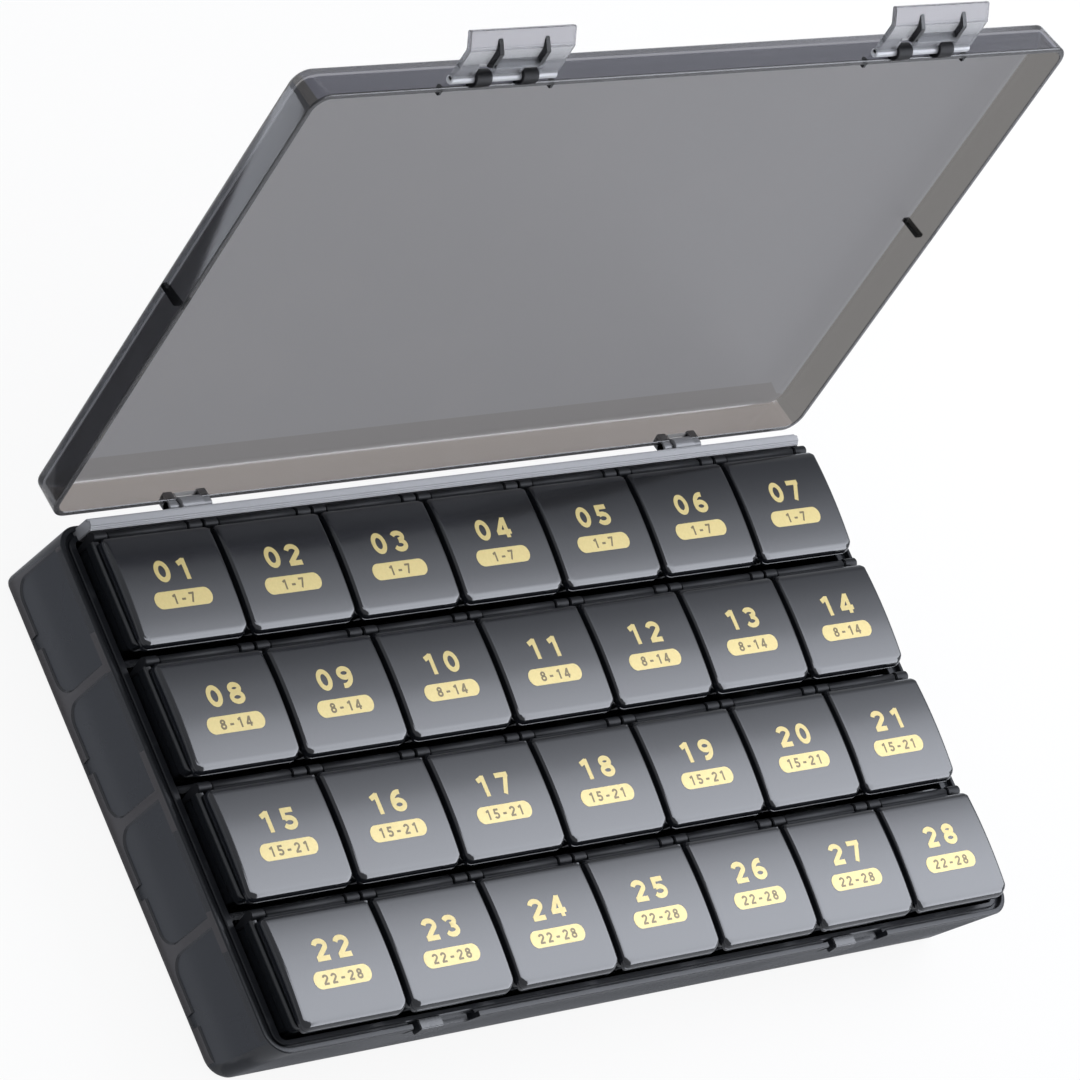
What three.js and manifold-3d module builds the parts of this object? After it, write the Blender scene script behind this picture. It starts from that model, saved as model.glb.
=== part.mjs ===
// Monthly pill organizer: a tray of 28 lidded pill boxes under a hinged cover with two latches.
// Millimetres, +Z up, +X along a week, +Y towards the cover hinge, origin under the tray's centre.
import * as THREE from 'three';
import { mergeVertices } from 'three/addons/utils/BufferGeometryUtils.js';
import Module from 'manifold-3d';

const wasm = await Module();
wasm.setup();

// Pill boxes, seven days by four weeks
const dayCount = 7;
const weekCount = 4;
const boxWidth = 29.4;
const boxDepth = 25.6;
const boxHeight = 23.5;
const boxWall = 1.1;
const boxFloor = 1.2;
const boxTaper = 0.5;
const boxFrontTaper = 1.7;
const boxCorner = 1.6;
const collarHeight = 2.6;
const collarStep = 0.5;

// Lid hinge: pins on the lid's barrel turn in the box's two ears
const earWidth = 3.8;
const earRadius = 1.15;
const earFoot = 3.2;
const lidPinRadius = 0.5;
const lidPinReach = 2.4;
const lidBarrelRadius = 0.95;
const lidAxisInset = 0.9;
const lidAxisDrop = 0.3;
const tongueFoot = 0.5;
const tongueCrest = 0.75;

// Flip lid
const lidSideInset = 0.4;
const lidThickness = 1.2;
const lidSkirt = 1.1;
const lidCrown = 3;
const lidCrestInset = 8;
const lidFrontDrop = 0.95;
const lidBackDrop = 0.3;
const lidRoll = 1.8;
const lidBackRoll = 1.5;
const lipOverhang = 1.1;
const lipThickness = 0.8;
const lipDrop = 0.8;
const lidCornerCut = 1.2;

// Running fits
const fitGap = 0.3;
const columnGap = 0.6;
const rowGap = 2.6;
const pocketGap = 0.4;

// Tray
const trayHeight = 21.4;
const trayFloor = 1.6;
const sideRim = 4.4;
const frontRim = 3.05;
const backRim = 3.2;
const sideDraft = 1.1;
const frontDraft = 3.6;
const backDraft = 0.8;
const rimCorner = 5.5;
const footCorner = 3;
const footBackCorner = 2;
const footChamfer = 2;
const sideLip = 1;
const sideGroove = 1.7;
const endLip = 1.2;
const endGroove = 0.7;
const grooveDepth = 1.2;
const ridgeStep = 0.5;
const partitionDrop = 1.4;
const pocketCorner = 1.2;

// Recessed panels along the tray's two ends
const panelDepth = 0.5;
const panelRib = 2;
const panelFoot = 3.6;
const panelTop = 2.4;
const panelCorner = 4;
const footNotch = 3;

// Raised band along the back rim
const bandWidth = 2.6;
const bandRise = 4.7;
const bandStep = 0.6;
const bandInset = 5.5;
const bandBackInset = 0.6;

// Cover
const coverSideReach = 0.3;
const coverGap = 0.3;
const coverDepth = 8.2;
const coverWall = 1.3;
const coverPlate = 1;
const coverDraft = 0.5;
const coverCorner = 4.5;
const coverOverhang = 0.5;
const openAngle = 104.7;
const sideRibWidth = 1;
const sideRibReach = 1.5;
const sideRibShare = 0.7;
const wallNubWidth = 0.9;
const wallNubReach = 0.9;
const wallNubHeight = 1.6;
const wallNubSpacing = 30.6;

// Cover hinge: pins across notches in the cover's back wall turn in lugs behind the tray
const coverAxisBack = 1.6;
const coverAxisDrop = 0.4;
const coverWallOffset = 0.3;
const hingeShares = [-0.66, 0.66];
const lugLength = 6;
const lugRadius = 2;
const hingePinRadius = 0.9;
const cheekLength = 2.5;
const cheekRadius = 1.25;
const cheekRise = 3;
const stopReach = 1.5;

// Latches
const latchShares = [-0.5571, 0.5571];
const latchWidth = 29;
const latchThickness = 1.2;
const latchArm = 8;
const latchTab = 3.9;
const latchTabAngle = 36;
const latchRodRadius = 0.95;
const latchAxisOut = 1.6;
const latchAxisUp = 0.6;
const latchKnuckleSpacing = 12.8;
const latchKnuckleLength = 4.4;
const latchKnuckleRadius = 1.8;
const latchWindow = 3.6;
const gussetWidth = 1.4;
const gussetRise = 1.1;
const gussetTop = 2.2;
const snapReach = 4.2;
const snapHeight = 1.5;
const snapThickness = 1.3;
const heelWidth = 3;
const heelInset = 1;
const heelGap = 0.1;
const heelRise = 1.2;

// Catches in the tray's front rim
const recessWidth = 18.5;
const recessShift = 1;
const recessDrop = 2.4;
const slotWidth = 1.2;
const slotDrop = 4.2;
const catchInset = 1.9;
const catchWidth = 7.7;
const catchSlope = 1.4;
const catchHeight = 3;
const catchReach = 0.4;

// Roundness and cutting
const cornerSteps = 4;
const smallCornerSteps = 1;
const rodSides = 12;
const barrelSides = 8;
const pinSides = 6;
const overrun = 1;

// Places that follow from the sizes above
const pitchX = boxWidth + columnGap;
const pitchY = boxDepth + rowGap;
const boxBase = trayFloor + fitGap;
const lidAxisY = boxDepth / 2 - lidAxisInset;
const lidAxisZ = boxHeight - lidAxisDrop;
const lidWidth = boxWidth - 2 * lidSideInset;
const barrelHalf = boxWidth / 2 - earWidth - fitGap;
const earBack = lidAxisY + earRadius;
const pocketFront = boxDepth / 2 + pocketGap;
const pocketBack = Math.max(earBack, boxDepth / 2) + pocketGap;
const pocketHalfWidth = (dayCount - 1) / 2 * pitchX + boxWidth / 2 + pocketGap;
const trayHalfWidth = pocketHalfWidth + sideRim;
const rowsSpan = (weekCount - 1) * pitchY;
const trayDepth = frontRim + pocketFront + rowsSpan + pocketBack + backRim;
const trayFront = -trayDepth / 2;
const trayBack = trayDepth / 2;
const frontRowY = trayFront + frontRim + pocketFront;
const coverAxisY = trayBack + coverAxisBack;
const coverAxisZ = trayHeight - coverAxisDrop;
const coverBack = coverAxisY - coverWallOffset;
const coverFront = trayFront - coverOverhang;
const coverRim = trayHeight + coverGap;
const coverWidth = 2 * (trayHalfWidth + coverSideReach);
const latchAxisY = coverFront - latchAxisOut;
const latchAxisZ = coverRim + latchAxisUp;

const boxGloss = { color: 0x141517, roughness: 0.18, metalness: 0 };
const lidGloss = { color: 0x1b1d20, roughness: 0.14, metalness: 0 };
const trayGloss = { color: 0x17191c, roughness: 0.24, metalness: 0 };
const smoke = { color: 0x77787c, roughness: 0.1, metalness: 0, transparent: true, opacity: 0.6 };

// A closed three.js geometry as a solid that can be cut and joined
function solid(geometry) {
  geometry.deleteAttribute('normal');
  geometry.deleteAttribute('uv');
  const merged = mergeVertices(geometry);
  const vertProperties = new Float32Array(merged.attributes.position.array);
  const triVerts = new Uint32Array(merged.index.array);
  return new wasm.Manifold(new wasm.Mesh({ numProp: 3, vertProperties, triVerts }));
}

// A named mesh made from a finished solid
function piece(name, body, look, origin = [0, 0, 0]) {
  const mesh = body.getMesh();
  const geometry = new THREE.BufferGeometry();
  geometry.setAttribute('position', new THREE.BufferAttribute(new Float32Array(mesh.vertProperties), 3));
  geometry.setIndex(new THREE.BufferAttribute(new Uint32Array(mesh.triVerts), 1));
  geometry.translate(-origin[0], -origin[1], -origin[2]);
  geometry.computeVertexNormals();
  const result = new THREE.Mesh(geometry, new THREE.MeshStandardMaterial(look));
  result.name = name;
  return result;
}

function joined(bodies) {
  return bodies.reduce((sum, body) => sum.add(body));
}

// A block between two corners
function block(x0, x1, y0, y1, z0, z1) {
  const geometry = new THREE.BoxGeometry(x1 - x0, y1 - y0, z1 - z0);
  geometry.translate((x0 + x1) / 2, (y0 + y1) / 2, (z0 + z1) / 2);
  return solid(geometry);
}

// A round bar along X
function rod(x0, x1, y, z, radius, sides) {
  const geometry = new THREE.CylinderGeometry(radius, radius, x1 - x0, sides);
  geometry.rotateZ(Math.PI / 2);
  geometry.translate((x0 + x1) / 2, y, z);
  return solid(geometry);
}

// A side outline of [y, z] points drawn out along X
function slab(points, x0, x1) {
  const shape = new THREE.Shape(points.map(([y, z]) => new THREE.Vector2(y, z)));
  const geometry = new THREE.ExtrudeGeometry(shape, { depth: x1 - x0, bevelEnabled: false });
  geometry.applyMatrix4(new THREE.Matrix4().set(0, 0, 1, x0, 1, 0, 0, 0, 0, 1, 0, 0, 0, 0, 0, 1));
  return solid(geometry);
}

// One level of a body with rounded corners, seen from above
function ring({ x0, x1, y0, y1, radius, backRadius = radius, z }, steps) {
  const corners = [[x1 - backRadius, y1 - backRadius, backRadius], [x0 + backRadius, y1 - backRadius, backRadius],
    [x0 + radius, y0 + radius, radius], [x1 - radius, y0 + radius, radius]];
  const points = [];
  corners.forEach(([cx, cy, size], quarter) => {
    for (let step = 0; step <= steps; step += 1) {
      const angle = (quarter + step / steps) * Math.PI / 2;
      points.push([cx + size * Math.cos(angle), cy + size * Math.sin(angle), z]);
    }
  });
  return points;
}

// A closed body through several levels, listed from the bottom up
function stack(levels, steps) {
  const rings = levels.map((level) => ring(level, steps));
  const count = rings[0].length;
  const position = rings.flat(2);
  const index = [];
  for (let level = 0; level < rings.length - 1; level += 1) {
    for (let corner = 0; corner < count; corner += 1) {
      const a = level * count + corner;
      const b = level * count + (corner + 1) % count;
      index.push(a, b, b + count, a, b + count, a + count);
    }
  }
  const top = (rings.length - 1) * count;
  for (let corner = 1; corner < count - 1; corner += 1) {
    index.push(0, corner + 1, corner, top, top + corner, top + corner + 1);
  }
  const geometry = new THREE.BufferGeometry();
  geometry.setAttribute('position', new THREE.BufferAttribute(new Float32Array(position), 3));
  geometry.setIndex(index);
  return solid(geometry);
}

// The same outline drawn in by an inset, at height z
function level(outline, inset, z) {
  return {
    x0: outline.x0 + inset,
    x1: outline.x1 - inset,
    y0: outline.y0 + inset,
    y1: outline.y1 - inset,
    radius: Math.max(outline.radius - inset, fitGap),
    backRadius: Math.max((outline.backRadius ?? outline.radius) - inset, fitGap),
    z,
  };
}

// The foot of a body whose front slopes in like the tray's front wall
function setBack(outline) {
  return { ...outline, y0: outline.y0 + boxFrontTaper };
}

// One pill box: tapered body, collar under the lid, and two hinge ears at the back corners
function pillBox() {
  const collar = { x0: -boxWidth / 2, x1: boxWidth / 2, y0: -boxDepth / 2, y1: boxDepth / 2, radius: boxCorner };
  const collarBase = boxHeight - collarHeight;
  const body = stack([setBack(level(collar, collarStep + boxTaper, 0)),
    level(collar, collarStep, collarBase - collarStep), level(collar, 0, collarBase), level(collar, 0, boxHeight)],
  smallCornerSteps);
  const inside = stack([setBack(level(collar, collarStep + boxTaper + boxWall, boxFloor)),
    level(collar, collarStep + boxWall, boxHeight), level(collar, collarStep + boxWall, boxHeight + overrun)],
  smallCornerSteps);
  const reach = lidBarrelRadius + fitGap;
  const room = block(-barrelHalf - fitGap, barrelHalf + fitGap, lidAxisY - reach, boxDepth / 2 + overrun,
    lidAxisZ - reach, boxHeight + overrun);
  const cup = body.subtract(joined([inside, room]));
  return joined([cup, ear(-1), ear(1)]).subtract(joined([earBore(-1), earBore(1)]));
}

// One ear on a back corner of the box, rounded over the lid's pin and sloped into the wall below
function ear(side) {
  const outer = side * boxWidth / 2;
  const inner = side * (boxWidth / 2 - earWidth);
  const foot = boxHeight - collarHeight;
  const shoulder = earRadius * Math.SQRT1_2;
  return slab([[lidAxisY + earRadius, lidAxisZ], [lidAxisY + shoulder, lidAxisZ + shoulder],
    [lidAxisY, lidAxisZ + earRadius], [lidAxisY - shoulder, lidAxisZ + shoulder], [lidAxisY - earRadius, lidAxisZ],
    [lidAxisY - earRadius, foot], [boxDepth / 2 - collarStep - boxWall, foot - earFoot],
    [boxDepth / 2 - collarStep - boxWall / 2, foot - earFoot]],
  Math.min(outer, inner), Math.max(outer, inner));
}

function earBore(side) {
  const start = side * (boxWidth / 2 - earWidth - overrun);
  const end = side * (barrelHalf + fitGap + lidPinReach);
  return rod(Math.min(start, end), Math.max(start, end), lidAxisY, lidAxisZ, lidPinRadius + fitGap, pinSides);
}

// Height of the lid's top at depth y: arched, and lower at the front than at the hinge
function lidTop(y, back, front) {
  const crest = back - lidCrestInset;
  const [end, drop] = y > crest ? [back, lidBackDrop] : [front, lidFrontDrop];
  return boxHeight + lidCrown - drop * ((y - crest) / (end - crest)) ** 2;
}

// One flip lid: arched top, rolled front lip and back edge, side skirts, and the hinge barrel with its pins
function flipLid() {
  const front = -boxDepth / 2 - lipOverhang;
  const back = lidAxisY - earRadius - fitGap;
  const skirtBase = boxHeight + fitGap;
  const lipBase = boxHeight - lipDrop;
  const rolled = front + lidRoll;
  const heel = lidTop(back, back, rolled);
  const outline = [[back, skirtBase], [back, heel - lidBackRoll],
    [back - lidBackRoll * (1 - Math.SQRT1_2), heel - lidBackRoll * (1 - Math.SQRT1_2)]];
  const shares = [1, 0.75, 0.5, 0.25, 0];
  shares.forEach((share) => {
    const y = rolled + share * (back - lidBackRoll - rolled);
    outline.push([y, lidTop(y, back, rolled)]);
  });
  const edge = lidTop(rolled, back, rolled);
  outline.push([rolled - lidRoll * Math.SQRT1_2, edge - lidRoll * (1 - Math.SQRT1_2)]);
  outline.push([front, edge - lidRoll], [front, lipBase], [front + lipThickness, lipBase]);
  outline.push([front + lipThickness, skirtBase]);
  const shell = slab(outline, -lidWidth / 2, lidWidth / 2);
  const hollow = [[back - lidSkirt, skirtBase - overrun], [back - lidSkirt, heel - lidThickness - lidBackRoll]];
  shares.forEach((share) => {
    const y = rolled + share * (back - lidBackRoll - rolled);
    hollow.push([y, lidTop(y, back, rolled) - lidThickness]);
  });
  hollow.push([rolled, skirtBase - overrun]);
  const under = slab(hollow, lidSkirt - lidWidth / 2, lidWidth / 2 - lidSkirt);
  const reach = lidWidth / 2 + overrun;
  const plan = { x0: -lidWidth / 2, x1: lidWidth / 2, y0: front, y1: back, radius: lidCornerCut };
  const trimmed = stack([level(plan, 0, lipBase - overrun), level(plan, 0, boxHeight + lidCrown + reach)], 1);
  const cap = shell.subtract(under).intersect(trimmed);
  const tongue = slab([[back - lidSkirt, lidAxisZ - tongueFoot], [lidAxisY, lidAxisZ - tongueFoot],
    [lidAxisY, lidAxisZ + tongueCrest], [back, skirtBase + tongueFoot], [back - lidSkirt, skirtBase + tongueFoot]],
  -barrelHalf, barrelHalf);
  const barrel = rod(-barrelHalf, barrelHalf, lidAxisY, lidAxisZ, lidBarrelRadius, barrelSides);
  const pinEnd = barrelHalf + lidPinReach;
  const pins = rod(-pinEnd, pinEnd, lidAxisY, lidAxisZ, lidPinRadius, pinSides);
  return joined([cap, tongue, barrel, pins]);
}

function hingePlaces() {
  return hingeShares.map((share) => share * trayHalfWidth);
}

function latchPlaces() {
  return latchShares.map((share) => share * trayHalfWidth);
}

// The tray's outline at the rim, drawn in by one amount along the ends and another front and back
function rimLevel(side, end, z) {
  return {
    x0: side - trayHalfWidth,
    x1: trayHalfWidth - side,
    y0: trayFront + end,
    y1: trayBack - end,
    radius: rimCorner - Math.max(side, end),
    z,
  };
}

// Tray shell: drafted walls, rim with a lip, a groove and a lower ridge, and a pocket for each week
function trayShell() {
  const foot = {
    x0: sideDraft - trayHalfWidth,
    x1: trayHalfWidth - sideDraft,
    y0: trayFront + frontDraft,
    y1: trayBack - backDraft,
    radius: footCorner + footChamfer,
    backRadius: footBackCorner,
  };
  const shell = stack([level(foot, footChamfer, 0), level(foot, 0, footChamfer), rimLevel(0, 0, trayHeight)],
    cornerSteps);
  const above = trayHeight + overrun;
  const trenchFloor = trayHeight - grooveDepth;
  const ridgeTop = trayHeight - ridgeStep;
  const step = stack([rimLevel(sideLip, endLip, ridgeTop), rimLevel(sideLip, endLip, above)], cornerSteps);
  const trench = stack([rimLevel(sideLip, endLip, trenchFloor), rimLevel(sideLip, endLip, ridgeTop + overrun)],
    cornerSteps);
  const kept = stack([rimLevel(sideLip + sideGroove, endLip + endGroove, trenchFloor - overrun),
    rimLevel(sideLip + sideGroove, endLip + endGroove, above + overrun)], cornerSteps);
  const cuts = [step, trench.subtract(kept)];
  for (let week = 0; week < weekCount; week += 1) {
    const y = frontRowY + week * pitchY;
    const pocket = {
      x0: -pocketHalfWidth,
      x1: pocketHalfWidth,
      y0: y - pocketFront,
      y1: y + pocketBack,
      radius: pocketCorner,
    };
    cuts.push(stack([setBack(level(pocket, 0, trayFloor)), level(pocket, 0, trayHeight), level(pocket, 0, above)],
      smallCornerSteps));
  }
  const partitionTop = trayHeight - partitionDrop;
  cuts.push(block(-pocketHalfWidth, pocketHalfWidth, frontRowY, frontRowY + rowsSpan, partitionTop, above));
  return shell.subtract(joined(cuts));
}

// Shallow panels between the ribs of the tray's two ends, with a notch under the middle of each
function endPanels() {
  const slope = Math.atan2(sideDraft, trayHeight - footChamfer);
  const wallShare = (trayHeight - panelFoot) / (trayHeight - footChamfer);
  const height = trayHeight - panelTop - panelFoot;
  const half = (pitchY - panelRib) / 2;
  const shape = new THREE.Shape();
  shape.moveTo(-half, height);
  shape.lineTo(-half, panelCorner);
  shape.absarc(panelCorner - half, panelCorner, panelCorner, Math.PI, 1.5 * Math.PI, false);
  shape.lineTo(-footNotch / 2, 0);
  shape.lineTo(-footNotch / 2, -panelFoot / 2);
  shape.lineTo(footNotch / 2, -panelFoot / 2);
  shape.lineTo(footNotch / 2, 0);
  shape.absarc(half - panelCorner, panelCorner, panelCorner, 1.5 * Math.PI, 2 * Math.PI, false);
  shape.lineTo(half, height);
  const options = { depth: panelDepth + overrun, bevelEnabled: false, curveSegments: cornerSteps };
  const cuts = [];
  for (let week = 0; week < weekCount; week += 1) {
    [-1, 1].forEach((side) => {
      const geometry = new THREE.ExtrudeGeometry(shape, options);
      geometry.translate(0, 0, -panelDepth);
      geometry.rotateX(Math.PI / 2);
      geometry.rotateZ(side * Math.PI / 2);
      geometry.rotateY(side * slope);
      geometry.translate(side * (trayHalfWidth - sideDraft * wallShare), frontRowY + week * pitchY, panelFoot);
      cuts.push(solid(geometry));
    });
  }
  return joined(cuts);
}

// Recess for one latch: the rim drops between two slots and leaves a catch for the latch's snap
function latchRecess(x) {
  const left = x - recessShift - recessWidth / 2;
  const right = left + recessWidth;
  const [front, inner] = [trayFront - overrun, trayFront + endLip + endGroove];
  const above = trayHeight + overrun;
  return joined([
    block(left, right, front, inner, trayHeight - recessDrop, above),
    block(left, left + slotWidth, front, inner, trayHeight - slotDrop, above),
    block(right - slotWidth, right, front, inner, trayHeight - slotDrop, above),
  ]);
}

function latchCatch(x) {
  const left = x - recessShift - recessWidth / 2 + catchInset;
  const right = left + catchWidth;
  const base = trayHeight - catchHeight;
  const shape = new THREE.Shape([[left, base], [right, base], [right, trayHeight - recessDrop],
    [right - catchSlope, trayHeight], [left, trayHeight]].map(([across, up]) => new THREE.Vector2(across, up)));
  const depth = catchReach + endLip + endGroove;
  const geometry = new THREE.ExtrudeGeometry(shape, { depth, bevelEnabled: false });
  geometry.rotateX(Math.PI / 2);
  geometry.translate(0, trayFront + endLip + endGroove, 0);
  return solid(geometry);
}

// Stepped band that stands on the back rim in front of the cover's hinge
function hingeBand() {
  const back = trayBack - bandBackInset;
  const front = back - bandWidth;
  const top = trayHeight + bandRise;
  const half = trayHalfWidth - bandInset;
  const root = trayHeight - grooveDepth - overrun;
  return slab([[front, root], [back, root], [back, top - bandStep], [back - bandStep, top - bandStep],
    [back - bandStep, top], [front + bandStep, top], [front + bandStep, top - bandStep], [front, top - bandStep]],
  -half, half);
}

// One hinge lug behind the tray, a ring round the cover's pin
function hingeLug(x) {
  const half = lugLength / 2;
  return rod(x - half, x + half, coverAxisY, coverAxisZ, lugRadius, rodSides);
}

function tray() {
  const lugs = hingePlaces().map((x) => hingeLug(x));
  const half = lugLength / 2 + overrun;
  const bores = hingePlaces().map((x) => rod(x - half, x + half, coverAxisY, coverAxisZ, hingePinRadius + fitGap,
    rodSides));
  const recesses = latchPlaces().map((x) => latchRecess(x));
  const catches = latchPlaces().map((x) => latchCatch(x));
  const body = trayShell().subtract(endPanels()).subtract(joined(recesses));
  return joined([body, ...catches, hingeBand(), ...lugs]).subtract(joined(bores));
}

// One hinge of the shut cover: two cheeks on the back wall, the pin between them, and square stops
function coverHinge(x) {
  const inner = lugLength / 2 + fitGap;
  const outer = inner + cheekLength;
  const parts = [rod(x - outer, x + outer, coverAxisY, coverAxisZ, hingePinRadius, rodSides)];
  [-1, 1].forEach((side) => {
    const x0 = x + Math.min(side * inner, side * outer);
    const x1 = x0 + cheekLength;
    parts.push(rod(x0, x1, coverAxisY, coverAxisZ, cheekRadius, rodSides));
    parts.push(block(x0, x1, coverAxisY - cheekRadius, coverAxisY + cheekRadius, coverAxisZ, coverAxisZ + cheekRise));
    const stop = new THREE.BoxGeometry(cheekLength, stopReach, stopReach);
    stop.translate((x0 + x1) / 2, -stopReach / 2, -stopReach / 2);
    stop.rotateX(THREE.MathUtils.degToRad(openAngle));
    stop.translate(0, coverAxisY, coverAxisZ);
    parts.push(solid(stop));
  });
  return joined(parts);
}

// Room in the back wall for one hinge lug of the tray
function lugRoom(x) {
  const half = lugLength / 2 + fitGap;
  return block(x - half, x + half, coverBack - coverWall - overrun, coverBack + overrun, coverRim - overrun,
    coverAxisZ + lugRadius + fitGap);
}

// One knuckle in front of the shut cover, bored for a latch's rod
function latchKnuckle(x) {
  const x0 = x - latchKnuckleLength / 2;
  const x1 = x + latchKnuckleLength / 2;
  const eye = rod(x0, x1, latchAxisY, latchAxisZ, latchKnuckleRadius, rodSides);
  const web = block(x0, x1, latchAxisY, coverFront + coverWall / 2, coverRim, latchAxisZ + latchKnuckleRadius);
  return eye.add(web);
}

function latchKnucklePlaces(x) {
  return [x - latchKnuckleSpacing / 2, x + latchKnuckleSpacing / 2];
}

// The cover, shut: a shallow drafted lid with stop ribs, nubs beside the latches and both hinge lines
function cover() {
  const half = coverWidth / 2;
  const outline = { x0: -half, x1: half, y0: coverFront, y1: coverBack, radius: coverCorner };
  const top = coverRim + coverDepth;
  const plate = top - coverPlate;
  const shell = stack([level(outline, 0, coverRim), level(outline, coverDraft, plate),
    level(outline, coverDraft + coverPlate / 2, top)], cornerSteps);
  const inside = stack([level(outline, coverWall, coverRim - overrun), level(outline, coverWall, coverRim),
    level(outline, coverWall + coverDraft, plate)], cornerSteps);
  const ribY = (coverFront + coverBack) / 2;
  const ribs = [-1, 1].map((side) => {
    const wall = side * (half - coverWall / 2);
    const reach = side * (half - coverWall - sideRibReach);
    return block(Math.min(wall, reach), Math.max(wall, reach), ribY - sideRibWidth / 2, ribY + sideRibWidth / 2,
      plate - sideRibShare * (coverDepth - coverPlate), plate + coverPlate / 2);
  });
  const parts = [...ribs];
  const bores = [];
  latchPlaces().forEach((x) => {
    [-1, 1].forEach((side) => {
      const nub = x + side * wallNubSpacing / 2;
      parts.push(block(nub - wallNubWidth / 2, nub + wallNubWidth / 2, coverFront + coverWall / 2,
        coverFront + coverWall + wallNubReach, coverRim, coverRim + wallNubHeight));
    });
    latchKnucklePlaces(x).forEach((place) => {
      parts.push(latchKnuckle(place));
      const reach = latchKnuckleLength / 2 + overrun;
      bores.push(rod(place - reach, place + reach, latchAxisY, latchAxisZ, latchRodRadius + fitGap, rodSides));
    });
  });
  const hinges = hingePlaces().map((x) => coverHinge(x));
  const rooms = hingePlaces().map((x) => lugRoom(x));
  return shell.subtract(joined([inside, ...rooms])).add(joined(parts)).subtract(joined(bores)).add(joined(hinges));
}

// One latch, flipped open, about its own axis: rod, arm with two windows, finger tab, gussets, snap and heels
function latch() {
  const half = latchWidth / 2;
  const thin = latchThickness / 2;
  const turn = THREE.MathUtils.degToRad(latchTabAngle);
  const [along, up] = [Math.cos(turn), Math.sin(turn)];
  const mitre = thin * Math.tan(turn / 2);
  const tip = -latchArm - latchTab * along;
  const rise = latchTab * up;
  const leaf = slab([[0, -thin], [0, thin], [mitre - latchArm, thin], [tip + thin * up, rise + thin * along],
    [tip - thin * up, rise - thin * along], [-latchArm - mitre, -thin]], -half, half);
  const room = latchKnuckleLength / 2 + fitGap;
  const windows = latchKnucklePlaces(0).map((x) => block(x - room, x + room, -latchWindow, overrun, -overrun, overrun));
  const parts = [leaf.subtract(joined(windows)), rod(-half, half, 0, 0, latchRodRadius, rodSides)];
  const crest = -thin - gussetRise;
  const topY = -latchArm - gussetTop * along - thin * up;
  const topZ = gussetTop * up - thin * along;
  latchKnucklePlaces(0).forEach((x) => {
    parts.push(slab([[-latchWindow, 0], [-latchWindow, -thin], [-snapReach, crest], [-latchArm, crest],
      [topY, topZ], [-latchArm, 0]], x - gussetWidth / 2, x + gussetWidth / 2));
  });
  const snapHalf = (latchKnuckleSpacing - gussetWidth) / 2 + gussetWidth / 4;
  const hook = -thin - snapHeight;
  parts.push(slab([[-snapReach, 0], [-snapReach, hook], [-snapReach - snapThickness / 2, hook],
    [-snapReach - snapThickness, -thin], [-snapReach - snapThickness, 0]], -snapHalf, snapHalf));
  [-1, 1].forEach((side) => {
    const outer = side * (half - heelInset);
    const inner = outer - side * heelWidth;
    parts.push(block(Math.min(outer, inner), Math.max(outer, inner), 0, latchAxisOut - heelGap, 0, heelRise));
  });
  return joined(parts);
}

// The whole organizer, with its cover open and its latches flipped up
const organizer = new THREE.Group();
organizer.add(piece('tray', tray(), trayGloss));

const coverSwing = new THREE.Group();
coverSwing.position.set(0, coverAxisY, coverAxisZ);
coverSwing.rotation.x = -THREE.MathUtils.degToRad(openAngle);
organizer.add(coverSwing);
coverSwing.add(piece('cover', cover(), smoke, [0, coverAxisY, coverAxisZ]));

const latchBody = latch();
['latch_left', 'latch_right'].forEach((name, place) => {
  const mesh = piece(name, latchBody, smoke);
  mesh.position.set(latchPlaces()[place], latchAxisY - coverAxisY, latchAxisZ - coverAxisZ);
  coverSwing.add(mesh);
});

const boxBody = pillBox();
const lidBody = flipLid();
for (let week = 1; week <= weekCount; week += 1) {
  for (let day = 1; day <= dayCount; day += 1) {
    const place = new THREE.Group();
    place.position.set((day - (dayCount + 1) / 2) * pitchX, frontRowY + (weekCount - week) * pitchY, boxBase);
    place.add(piece(`box_week${week}_day${day}`, boxBody, boxGloss));
    place.add(piece(`lid_week${week}_day${day}`, lidBody, lidGloss));
    organizer.add(place);
  }
}

export default organizer;
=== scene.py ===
import math

import bmesh
import bpy
from mathutils import Matrix, Vector


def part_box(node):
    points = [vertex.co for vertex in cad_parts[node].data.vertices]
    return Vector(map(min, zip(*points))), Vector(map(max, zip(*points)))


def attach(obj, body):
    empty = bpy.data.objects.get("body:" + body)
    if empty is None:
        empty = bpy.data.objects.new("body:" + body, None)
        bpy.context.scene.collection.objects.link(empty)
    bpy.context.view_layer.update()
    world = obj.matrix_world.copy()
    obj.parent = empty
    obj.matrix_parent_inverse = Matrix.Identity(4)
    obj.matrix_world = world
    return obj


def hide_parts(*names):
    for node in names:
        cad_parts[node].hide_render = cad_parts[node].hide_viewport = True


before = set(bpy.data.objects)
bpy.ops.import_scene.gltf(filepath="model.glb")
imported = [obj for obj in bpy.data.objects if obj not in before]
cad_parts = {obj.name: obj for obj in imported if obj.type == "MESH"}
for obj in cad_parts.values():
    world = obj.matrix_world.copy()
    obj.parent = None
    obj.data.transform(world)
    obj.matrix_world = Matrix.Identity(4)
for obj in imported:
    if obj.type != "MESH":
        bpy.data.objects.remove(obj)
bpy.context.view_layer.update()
mm = 0.001
# how far cutters reach past the surface they open
beyond = 1.0
print("frame loaded:", len(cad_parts), "nodes")


def lerp(a, b, share):
    return a + (b - a) * share


def smooth(share):
    share = min(1.0, max(0.0, share))
    return share * share * (3 - 2 * share)


def roundOver(steps, first=0):
    # how far each step of a rounded edge has come in and still has to rise, as shares of its radius
    turns = [step / steps * math.pi / 2 for step in range(first, steps + 1)]
    return [(1 - math.cos(turn), 1 - math.sin(turn)) for turn in turns]


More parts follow.
